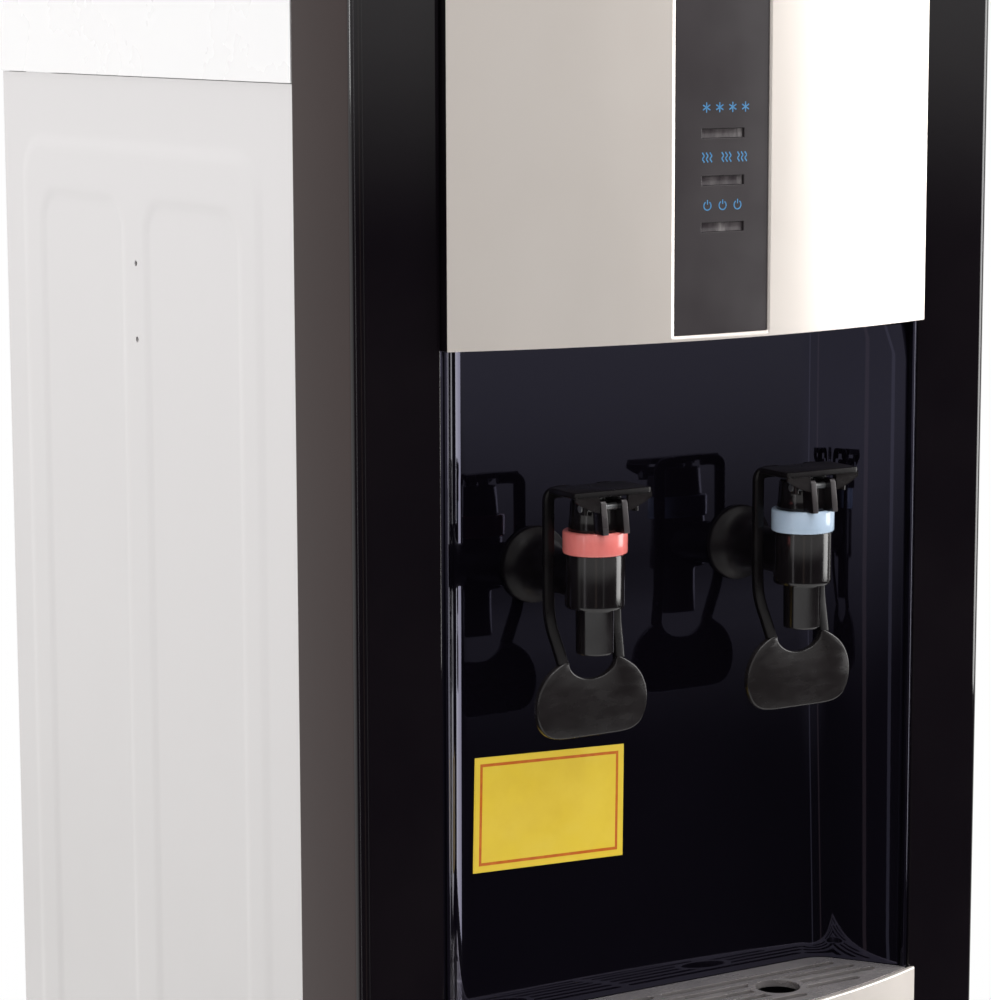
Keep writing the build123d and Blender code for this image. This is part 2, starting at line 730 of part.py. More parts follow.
def tap_spring(x):
    bottom = valve_z + 4.8
    height = bonnet_top - 5 - bottom - 0.8
    helix = Helix(pitch=height / 8, height=height, radius=5)
    section = Plane(origin=helix @ 0, z_dir=helix % 0) * Circle(0.6)
    return Pos(x, tap_axis_y, bottom) * sweep(section, path=helix, is_frenet=True)


def lever_pins():
    reach = 13.2
    return group(rod(pin_radius, (x - reach, pivot_y, pivot_z), (x + reach, pivot_y, pivot_z))
                 for x in (-tap_x, tap_x))


def tap_nuts():
    nuts = []
    for x in (-tap_x, tap_x):
        plane = Plane(origin=(x, niche_back + seat, inlet_z), z_dir=(0, 1, 0))
        nut = extrude(plane * RegularPolygon(13, 6), amount=6)
        nuts.append(nut - rod(tail_radius + 0.05, (x, niche_back, inlet_z),
                              (x, niche_back + 10, inlet_z)))
    return group(nuts)


# ---------------------------------------------------------------- water system
def bottle_probe():
    top = probe_top
    low = top - probe_cap_height
    x, y = probe_x, probe_y
    probe = rod(probe_cap_radius, (x, y, low), (x, y, top))
    probe = fillet(probe.edges().sort_by(Axis.Z)[-1], 5)
    probe -= rod(probe_cap_radius - wall, (x, y, low - 1), (x, y, top - 4))
    probe += rod(dip_tube_radius, (x, y, top - 4 - dip_tube_length), (x, y, top - 3))
    probe += rod(pipe_bore - 0.1, (x, y, top - 1), (x, y, top + 9))
    return probe - rod(2.5, (x, y, top - 5 - dip_tube_length), (x, y, top + 10))


def probe_holder():
    """Ring bracket on the side panel that the probe's cap stands on."""
    x, y = probe_x, probe_y
    top = probe_top - probe_cap_height - seat
    arm = block(x, inside_half - seat, y - 8, y + 8, top - 3, top)
    ring = rod(probe_cap_radius, (x, y, top - 3), (x, y, top)) + arm
    ring += block(inside_half - seat - 2, inside_half - seat, y - 1, y + 20, top - 30, top)
    hole = dip_tube_radius + play
    ring -= rod(hole, (x, y, top - 10), (x, y, top + 1))
    return ring - block(x - hole, x + hole, y - 40, y, top - 10, top + 1)


def suction_hose():
    return pipe_straight((probe_x, probe_y, probe_top + seat), shelf_top + 1 - probe_top - seat)


def pipe_straight(start, length):
    x, y, z = start
    tube = rod(pipe_radius, start, (x, y, z + length))
    return tube - rod(pipe_bore, (x, y, z - 1), (x, y, z + length + 1))


def water_pump():
    x = probe_x - 4
    front = probe_y - 10
    head = block(x - 19, x + 19, front, front + 22, pump_z - 19, pump_z + 19)
    pump = head + rod(pump_radius, (x, front + 22, pump_z), (x, front + 22 + pump_length, pump_z))
    for y in (front + 30, front + 76):
        pump += block(x - 14, x + 14, y, y + 10, shelf_top, pump_z - 10)
    pump += rod(pipe_bore, (probe_x, probe_y, shelf_top + 1.3), (probe_x, probe_y, pump_z - 18))
    return pump + rod(pipe_bore, (probe_x, probe_y, pump_z + 18), (probe_x, probe_y, pump_z + 28))


def cold_tank():
    tank = rod(cold_radius, (0, cold_y, cold_bottom), (0, cold_y, cold_top))
    tank -= rod(cold_radius - sheet, (0, cold_y, cold_bottom + sheet),
                (0, cold_y, cold_top - sheet))
    for x, y, z in ((30, cold_y - 25, cold_bottom), (-30, cold_y - 20, cold_bottom),
                    (0, cold_y, cold_top)):
        tank -= rod(pipe_bore, (x, y, z - 3), (x, y, z + 3))
    return tank


def coil_radius():
    return cold_radius + 0.2 + coil_tube


def evaporator_coil():
    height = coil_turns * coil_pitch
    helix = Helix(pitch=coil_pitch, height=height, radius=coil_radius())
    section = Plane(origin=helix @ 0, z_dir=helix % 0) * Circle(coil_tube)
    coil = sweep(section, path=helix, is_frenet=True)
    return Pos(0, cold_y, cold_bottom + 30) * coil


def tank_insulation():
    jacket = rod(foam_radius, (0, cold_y, cold_bottom - foam_floor), (0, cold_y, foam_top))
    inner = cold_radius + 2 * coil_tube + 1.5
    jacket -= rod(inner, (0, cold_y, cold_bottom), (0, cold_y, cold_top))
    for x, y in ((30, cold_y - 25), (-30, cold_y - 20)):
        jacket -= rod(pipe_radius + seat, (x, y, cold_bottom - foam_floor - 1),
                      (x, y, cold_bottom + 1))
    jacket -= rod(pipe_radius + seat, (0, cold_y, cold_top - 1), (0, cold_y, foam_top + 1))
    start = cold_bottom + 30
    end = start + coil_turns * coil_pitch
    near = coil_radius() - coil_tube - 1
    far = coil_radius() + coil_tube + 1
    jacket -= block(near, far, cold_y - foam_radius, cold_y + 1, start - 6, start + 6)
    return jacket - block(near, far, cold_y - 1, cold_y + foam_radius, end - 6, end + 6)


def tank_bracket():
    y0 = cold_y - 5
    y1 = cold_y + 35
    strip = block(-inside_half, inside_half, y0, y1, tank_bracket_z, tank_bracket_z + sheet)
    for solid in both(block(inside_half - sheet, inside_half, y0, y1, tank_bracket_z - 15,
                            tank_bracket_z + sheet)):
        strip += solid
    return strip


def hot_tank():
    tank = rod(hot_radius, (hot_x, inner_y, hot_bottom), (hot_x, inner_y, hot_top))
    tank = fillet(tank.edges().filter_by(GeomType.CIRCLE), hot_rounding)
    hollow = rod(hot_radius - sheet, (hot_x, inner_y, hot_bottom + sheet),
                 (hot_x, inner_y, hot_top - sheet))
    tank -= fillet(hollow.edges().filter_by(GeomType.CIRCLE), hot_rounding - sheet)
    for turn in range(3):
        angle = math.radians(90 + 120 * turn)
        x = hot_x + 30 * math.cos(angle)
        y = inner_y + 30 * math.sin(angle)
        tank += rod(4, (x, y, shelf_top), (x, y, hot_bottom + sheet / 2))
    for z in (hot_bottom + 20, hot_top - 20):
        tank -= rod(pipe_bore, (hot_x, inner_y - hot_radius - 1, z),
                    (hot_x, inner_y - hot_radius + 5, z))
    return tank - rod(pipe_bore, (hot_x, inner_y, hot_bottom - 1), (hot_x, inner_y, hot_bottom + 3))


def hot_insulation():
    jacket = rod(hot_outer, (hot_x, inner_y, hot_bottom - hot_foam), (hot_x, inner_y, hot_top + hot_foam))
    jacket -= rod(hot_radius + seat, (hot_x, inner_y, hot_bottom - seat),
                  (hot_x, inner_y, hot_top + seat))
    low = hot_bottom - hot_foam - 1
    for turn in range(3):
        angle = math.radians(90 + 120 * turn)
        x = hot_x + 30 * math.cos(angle)
        y = inner_y + 30 * math.sin(angle)
        jacket -= rod(4 + seat, (x, y, low), (x, y, hot_bottom))
    for z in (hot_bottom + 20, hot_top - 20):
        jacket -= rod(pipe_radius + seat, (hot_x, inner_y - hot_outer - 1, z),
                      (hot_x, inner_y - hot_radius, z))
    return jacket - rod(pipe_radius + seat, (hot_x, inner_y, low), (hot_x, inner_y, hot_bottom))


def water_pipes():
    start_y = cold_y - 25
    turn_y = tail_end + 15
    cold_out = pipe([(30, start_y, cold_bottom), (30, start_y, cold_bottom - 40),
                     (tap_x, turn_y, cold_bottom - 40), (tap_x, turn_y, inlet_z),
                     (tap_x, tail_end, inlet_z)], pipe_radius, pipe_bore, 8)
    hot_face = inner_y - hot_radius
    hot_out = pipe([(hot_x, hot_face, hot_top - 20), (hot_x, turn_y + 25, hot_top - 20),
                    (-tap_x, turn_y, hot_top - 20), (-tap_x, turn_y, inlet_z),
                    (-tap_x, tail_end, inlet_z)], pipe_radius, pipe_bore, 8)
    feed_y = cold_y - 20
    feed = pipe([(-30, feed_y, cold_bottom), (-30, feed_y, hot_bottom + 20),
                 (hot_x, hot_face - feed_lead, hot_bottom + 20), (hot_x, hot_face, hot_bottom + 20)],
                pipe_radius, pipe_bore, 10)
    lift = pipe([(probe_x, probe_y, pump_z + 28), (probe_x, probe_y, foam_top + 22),
                 (0, cold_y, foam_top + 22), (0, cold_y, cold_top)], pipe_radius, pipe_bore, 12)
    drain = pipe([(hot_x, inner_y, hot_bottom), (hot_x, inner_y, drain_level),
                  (drain_x, inner_y + 20, drain_level), (drain_x, back_y - 14, drain_level)],
                 pipe_radius, pipe_bore, 8)
    return group([cold_out, hot_out, feed, lift, drain])


def drain_outlet():
    x, z = drain_x, drain_level
    fitting = rod(drain_radius, (x, back_y - 14, z), (x, back_face + 14, z))
    fitting += rod(drain_radius + 6, (x, back_face + 0.1, z), (x, back_face + 3, z))
    return fitting - rod(pipe_bore, (x, back_y - 15, z), (x, back_face + 15, z))


def drain_cap():
    x, z = drain_x, drain_level
    start = back_face + 3 + seat
    cap = rod(drain_radius + 3, (x, start, z), (x, start + 15, z))
    cap = chamfer(cap.edges().sort_by(Axis.Y)[-1], 1.5)
    return cap - rod(drain_radius + 0.08, (x, start - 1, z), (x, back_face + 14.3, z))


# ---------------------------------------------------------------- cooling system
def compressor():
    x, y, z0 = compressor_x, inner_y, compressor_z
    bottom = z0 + 5
    shell = rod(compressor_radius, (x, y, bottom), (x, y, bottom + compressor_height))
    shell = fillet(shell.edges().filter_by(GeomType.CIRCLE), 26)
    middle = bottom + compressor_height * 0.55
    ring = compressor_radius + weld_ring
    shell += rod(ring, (x, y, middle - 2), (x, y, middle + 2))
    shell += block(x - ring, x + ring, y - 45, y + 45, z0, z0 + 3)
    shell += rod(28, (x, y, z0 + 1), (x, y, bottom + 3))
    shell += block(x - 22, x + 22, y - ring - 16, y - ring + 8, bottom + 40, bottom + 84)
    return shell


def compressor_mounts():
    solids = []
    foot = compressor_radius - 6
    for x in (compressor_x - foot, compressor_x + foot):
        for y in (inner_y - 37, inner_y + 37):
            solids.append(rod(9, (x, y, shelf_top), (x, y, compressor_z)))
            stud = rod(3.5, (x, y, compressor_z + 3), (x, y, compressor_z + 9))
            solids.append(stud + rod(6.5, (x, y, compressor_z + 3), (x, y, compressor_z + 5)))
    return group(solids)


def condenser_coil():
    """One tube that runs to and fro down the back."""
    points = [(condenser_end, back_y - 17, condenser_top)]
    for row in range(condenser_rows):
        z = condenser_top - row * condenser_pitch
        right = condenser_end if row in (0, condenser_rows - 1) else condenser_half
        sides = (-condenser_half, right) if row % 2 else (right, -condenser_half)
        points += [(side, condenser_y, z) for side in sides]
    points.append((condenser_end, back_y - 17, z))
    bends = [8] + [condenser_pitch / 2 - 0.01] * (len(points) - 4) + [8]
    path = FilletPolyline(*points, radius=bends)
    section = Plane(origin=path @ 0, z_dir=path % 0) * Circle(line_radius)
    return sweep(section, path=path)


def condenser_wires():
    wires = []
    low = condenser_top - (condenser_rows - 1) * condenser_pitch - 8
    first = -(wire_count - 1) * wire_pitch / 2
    for side in (-1, 1):
        y = condenser_y + side * (line_radius + wire_radius + 0.1)
        for index in range(wire_count):
            x = first + index * wire_pitch
            wires.append(rod(wire_radius, (x, y, low), (x, y, condenser_top + 8)))
    return group(wires)


def condenser_brackets():
    solids = []
    for row in (1, condenser_rows - 2):
        z = condenser_top - row * condenser_pitch
        for x in (-condenser_half + 24, condenser_half - 24):
            arm = block(x - 4, x + 4, back_face, condenser_y + 3.9, z - 7, z + 7)
            solids.append(arm - rod(line_radius + 0.1, (x - 5, condenser_y, z),
                                    (x + 5, condenser_y, z)))
    return group(solids)


def refrigerant_lines():
    x = condenser_end
    y = back_y - 17
    last = condenser_top - (condenser_rows - 1) * condenser_pitch
    shell_top = compressor_z + 5 + compressor_height
    discharge = pipe([(compressor_x + compressor_radius + 0.1, inner_y, compressor_z + 60),
                      (x, inner_y, compressor_z + 60), (x, inner_y, condenser_top),
                      (x, y, condenser_top)], line_radius, 0, 6)
    coil_start = cold_bottom + 30
    coil_end = coil_start + coil_turns * coil_pitch
    drier_y = y - 9
    drier_low = last + 30
    drier_high = drier_low + 100
    drier = rod(9, (x - 4, drier_y, drier_low), (x - 4, drier_y, drier_high))
    inlet = pipe([(x, y, last), (x, drier_y, last), (x - 4, drier_y, drier_low)], line_radius, 0, 4)
    side_x = x - 18
    front_y = cold_y - 85
    capillary = pipe([(x - 4, drier_y, drier_high), (x - 4, drier_y, coil_start),
                      (side_x, drier_y - 20, coil_start), (side_x, front_y, coil_start),
                      (coil_radius(), front_y, coil_start),
                      (coil_radius(), cold_y - seat, coil_start)], capillary_radius, 0, 8)
    suction_y = cold_y + foam_radius + 2
    entry_y = inner_y + 15
    suction = pipe([(coil_radius(), cold_y + seat, coil_end), (coil_radius(), suction_y, coil_end),
                    (coil_radius(), suction_y, shell_top + 20),
                    (compressor_x, entry_y, shell_top + 20),
                    (compressor_x, entry_y, shell_top + 0.1)], line_radius, 0, 8)
    return group([discharge, drier, inlet, capillary, suction])


# ---------------------------------------------------------------- back fittings
def switch_housings():
    housings = []
    for x in switch_x:
        hole = block(x - switch_half - 0.8, x + switch_half + 0.8, back_y - 18, back_face + 3,
                     switch_level - 12.5, switch_level + 12.5)
        box = block(x - 10.5, x + 10.5, back_y - 20, back_face, switch_level - 14.5,
                    switch_level + 14.5)
        box += block(x - 13, x + 13, back_face + 0.1, back_face + 2, switch_level - 17,
                     switch_level + 17)
        box += block(x - 10.5, x + 10.5, back_face - 1, back_face + 1, switch_level - 14.5,
                     switch_level + 14.5)
        box -= hole
        housings.append(box - rod(1.5 + running, (x - 10.4, back_y - 3, switch_level),
                                  (x + 10.4, back_y - 3, switch_level)))
    return group(housings)


def rear_switch(x):
    """Rocker, at rest with its upper half pressed in."""
    half = switch_height / 2
    rocker = block(-switch_half, switch_half, -4, 5, -half, half)
    rocker += rod(1.5, (-switch_half - 2.4, 0, 0), (switch_half + 2.4, 0, 0))
    return Pos(x, back_y - 3, switch_level) * Rot(switch_tilt, 0, 0) * rocker


def cord_gland():
    x, z = gland_x, gland_level
    gland = rod(gland_radius, (x, back_y - 6, z), (x, back_y - 6 + gland_length, z))
    gland += rod(gland_radius + 4, (x, back_face + 0.1, z), (x, back_face + 3, z))
    return gland - rod(gland_bore, (x, back_y - 7, z), (x, back_y - 5 + gland_length, z))


def screws():
    heads = []
    x = half_width - 7
    for side in (-x, x):
        for z in (90, 360, 690, 960):
            head = rod(3.6, (side, cabinet_depth, z), (side, cabinet_depth + 2, z))
            heads.append(chamfer(head.edges().sort_by(Axis.Y)[-1], 0.6))
    return group(heads)


nodes = {
    "base_pan": base_pan(),
    "rubber_feet": rubber_feet(),
    "right_side_panel": right_side_panel(),
    "left_side_panel": mirror(right_side_panel(), about=Plane.YZ),
    "back_panel": back_panel(),
    "top_cover": top_cover(),
    "mid_shelf": mid_shelf(),
    "door_surround": door_surround(),
    "door_magnet": door_magnet(),
    "front_frame": front_frame(),
    "fascia_panel": fascia_panel(),
    "indicator_strip": indicator_strip(),
    "indicator_lenses": indicator_lenses(),
    "circuit_boards": circuit_boards(),
    "niche_shell": niche_shell(),
    "drip_tray": drip_tray(),
    "tray_front": tray_front(),
    "drip_grille": drip_grille(),
    "door_frame": door_frame(),
    "door_skin": door_skin(),
    "door_liner": door_liner(),
    "door_hinges": door_hinges(),
    "lever_pins": lever_pins(),
    "tap_nuts": tap_nuts(),
    "bottle_probe": bottle_probe(),
    "probe_holder": probe_holder(),
    "suction_hose": suction_hose(),
    "water_pump": water_pump(),
    "cold_tank": cold_tank(),
    "evaporator_coil": evaporator_coil(),
    "tank_insulation": tank_insulation(),
    "tank_bracket": tank_bracket(),
    "hot_tank": hot_tank(),
    "hot_insulation": hot_insulation(),
    "water_pipes": water_pipes(),
    "drain_outlet": drain_outlet(),
    "drain_cap": drain_cap(),
    "compressor": compressor(),
    "compressor_mounts": compressor_mounts(),
    "condenser_coil": condenser_coil(),
    "condenser_wires": condenser_wires(),
    "condenser_brackets": condenser_brackets(),
    "refrigerant_lines": refrigerant_lines(),
    "switch_housings": switch_housings(),
    "hot_switch": rear_switch(switch_x[0]),
    "cold_switch": rear_switch(switch_x[1]),
    "cord_gland": cord_gland(),
    "screws": screws(),
}
for name, x in (("hot", -tap_x), ("cold", tap_x)):
    nodes[name + "_tap_body"] = tap_body(x)
    nodes[name + "_tap_ring"] = tap_ring(x)
    nodes[name + "_tap_bonnet"] = tap_bonnet(x)
    nodes[name + "_tap_lever"] = tap_lever(x)
    nodes[name + "_tap_stem"] = tap_stem(x)
    nodes[name + "_tap_spring"] = tap_spring(x)

os.makedirs("parts", exist_ok=True)
for name, shape in nodes.items():
    solids = [centre * solid for solid in shape.solids()]
    export_step(solids[0] if len(solids) == 1 else Compound(solids), f"parts/{name}.step")
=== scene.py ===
import bpy
import bmesh
import math
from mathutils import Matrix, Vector
from mathutils.geometry import tessellate_polygon

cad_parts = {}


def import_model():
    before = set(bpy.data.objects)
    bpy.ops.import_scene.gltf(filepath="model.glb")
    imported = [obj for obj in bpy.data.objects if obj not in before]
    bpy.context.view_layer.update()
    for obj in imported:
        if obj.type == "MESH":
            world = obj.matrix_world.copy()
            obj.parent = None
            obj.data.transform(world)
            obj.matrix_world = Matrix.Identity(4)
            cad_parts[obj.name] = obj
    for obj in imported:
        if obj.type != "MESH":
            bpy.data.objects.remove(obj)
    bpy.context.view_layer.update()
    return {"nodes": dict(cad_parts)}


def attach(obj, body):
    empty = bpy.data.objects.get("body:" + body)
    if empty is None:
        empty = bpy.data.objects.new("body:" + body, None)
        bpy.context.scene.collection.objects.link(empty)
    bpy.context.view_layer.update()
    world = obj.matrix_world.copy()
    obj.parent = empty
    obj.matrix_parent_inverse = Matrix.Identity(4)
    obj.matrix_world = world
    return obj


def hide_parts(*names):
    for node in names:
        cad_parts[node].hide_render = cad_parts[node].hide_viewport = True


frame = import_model()
nodes = frame["nodes"]

# Pieces are written in millimetres, with y = 0 on the face of the side pilasters and z from the floor.
FACE_Y = -163.0             # where that face is in the shared frame
ROOF = 921.3                # silver fascia's lower edge, over the tap recess
BAND = ROOF + 144.0         # its upper edge
SEAM = ROOF + 102.0         # seam between a side panel and the white top cover
GRILLE = 639.3              # top of the grille
TRAY = 636.3                # rim of the tray under it
FRAME_LOW = 597.3           # lower and upper edges of the dark front frame
FRAME_TOP = 1075.3
FRAME_HALF = 155.0
FRAME_DEPTH = 49.2
PANEL_BACK = 327.0          # rear edges of the side panels
FASCIA_HALF = 117.1
STRIP_HALF = 22.6
STRIP_LOW = ROOF + 2.3
STRIP_HIGH = BAND - 2.3
STRIP_SINK = 0.9
WINDOW_HALF = 10.25
WINDOW_LEVELS = (ROOF + 44.6, ROOF + 62.95, ROOF + 81.5)
RECESS_HALF = 117.3         # tap recess at its mouth
RECESS_BACK_HALF = 91.0     # where its slanted sides would meet its back
RECESS_DEPTH = 38.0
RECESS_CORNER = 15.0
TRAY_DEPTH = 34.3
BOW_HALF = 119.4            # bowed front of the drip tray
BOW_EDGE = 2.3
BOW_RISE = 21.7
TAP_X = 51.45               # taps to both sides of the middle
TAP_Y = -8.0
CUP_Y = 6.0


def mm(x, y, z):
    """A point of the shared frame, in metres."""
    return Vector((x, y + FACE_Y, z)) / 1000.0


# ---- materials
def linear(colour):
    """sRGB values from 0 to 255 as a linear colour."""
    out = []
    for value in colour:
        v = value / 255.0
        out.append(v / 12.92 if v <= 0.04045 else ((v + 0.055) / 1.055) ** 2.4)
    return (*out, 1.0)


class Finish:
    """One procedural material, put together step by step."""

    def __init__(self, colour, rough, metallic=0.0, coat=0.0, coat_rough=0.03, level=0.5,
                 tint=(255, 255, 255)):
        self.mat = bpy.data.materials.new("finish")
        self.mat.use_nodes = True
        self.tree = self.mat.node_tree
        self.shader = self.tree.nodes["Principled BSDF"]
        for key, value in (("Base Color", linear(colour)), ("Roughness", rough),
                           ("Metallic", metallic), ("Specular IOR Level", level),
                           ("Specular Tint", linear(tint)), ("Coat Weight", coat),
                           ("Coat Roughness", coat_rough)):
            self.shader.inputs[key].default_value = value
        self.coords = self.new("TexCoord")
        self.colour = None
        self.base = linear(colour)
        self.normal = None

    def new(self, kind):
        return self.tree.nodes.new("ShaderNode" + kind)

    def link(self, a, b):
        self.tree.links.new(a, b)

    def noise(self, scale, detail=4.0, stretch=(1, 1, 1)):
        mapping = self.new("Mapping")
        mapping.inputs["Scale"].default_value = stretch
        self.link(self.coords.outputs["Object"], mapping.inputs["Vector"])
        noise = self.new("TexNoise")
        for key, value in (("Scale", scale), ("Detail", detail), ("Roughness", 0.55)):
            noise.inputs[key].default_value = value
        self.link(mapping.outputs["Vector"], noise.inputs["Vector"])
        return noise.outputs["Fac"]

    def spread(self, fac, low, high, out_low=0.0, out_high=1.0):
        ranged = self.new("MapRange")
        for key, value in (("From Min", low), ("From Max", high), ("To Min", out_low),
                           ("To Max", out_high)):
            ranged.inputs[key].default_value = value
        self.link(fac, ranged.inputs["Value"])
        return ranged.outputs["Result"]

    def mix(self, fac, colour):
        """Mixes another colour over what is there, by a factor from the nodes."""
        node = self.new("Mix")
        node.data_type = "RGBA"
        if self.colour is None:
            node.inputs[6].default_value = self.base
        else:
            self.link(self.colour, node.inputs[6])
        node.inputs[7].default_value = linear(colour)
        self.link(fac, node.inputs[0])
        self.colour = node.outputs[2]
        self.link(self.colour, self.shader.inputs["Base Color"])
        return self

    def patches(self, colour, scale, low=0.4, high=0.7, stretch=(1, 1, 1)):
        return self.mix(self.spread(self.noise(scale, stretch=stretch), low, high), colour)

    def rise(self, colour, low, high):
        """Another colour that comes in between two heights above the floor, in metres; it paints light,
        a surface lit more strongly towards its top.
        """
        split = self.new("SeparateXYZ")
        self.link(self.coords.outputs["Object"], split.inputs[0])
        return self.mix(self.spread(split.outputs["Z"], low, high), colour)

    def specks(self, colour, scale, size):
        """Fine dust."""
        cell = self.new("TexVoronoi")
        cell.inputs["Scale"].default_value = scale
        self.link(self.coords.outputs["Object"], cell.inputs["Vector"])
        dots = self.spread(cell.outputs["Distance"], 0.0, size, 1.0, 0.0)
        thin = self.new("Math")
        thin.operation = "MULTIPLY"
        self.link(dots, thin.inputs[0])
        self.link(self.spread(self.noise(scale / 6), 0.52, 0.7, 0.0, 0.8), thin.inputs[1])
        return self.mix(thin.outputs[0], colour)

    def sheen_of(self, low, high, scale, stretch=(1, 1, 1)):
        """Roughness that varies from place to place."""
        rough = self.spread(self.noise(scale, stretch=stretch), 0.3, 0.72, low, high)
        self.link(rough, self.shader.inputs["Roughness"])
        return self

    def bump(self, scale, depth, detail=3.0, stretch=(1, 1, 1)):
        """Relief, depth in millimetres."""
        node = self.new("Bump")
        node.inputs["Strength"].default_value = 1.0
        node.inputs["Distance"].default_value = depth / 1000.0
        self.link(self.noise(scale, detail, stretch=stretch), node.inputs["Height"])
        if self.normal is not None:
            self.link(self.normal, node.inputs["Normal"])
        self.normal = node.outputs["Normal"]
        self.link(self.normal, self.shader.inputs["Normal"])
        return self

    def lean(self, amount):
        """Leans the surface back a little in the light, as a moulded wall does."""
        face = self.new("NewGeometry")
        add = self.new("VectorMath")
        add.inputs[1].default_value = (0.0, 0.0, amount)
        self.link(face.outputs["Normal"], add.inputs[0])
        unit = self.new("VectorMath")
        unit.operation = "NORMALIZE"
        self.link(add.outputs[0], unit.inputs[0])
        self.normal = unit.outputs[0]
        return self

    def soften(self, radius):
        """Rounds a CAD node's sharp edges in the light, radius in millimetres."""
        node = self.new("Bevel")
        node.samples = 6
        node.inputs["Radius"].default_value = radius / 1000.0
        self.normal = node.outputs["Normal"]
        self.link(self.normal, self.shader.inputs["Normal"])
        return self

    def named(self, name):
        self.mat.name = name
        return self.mat


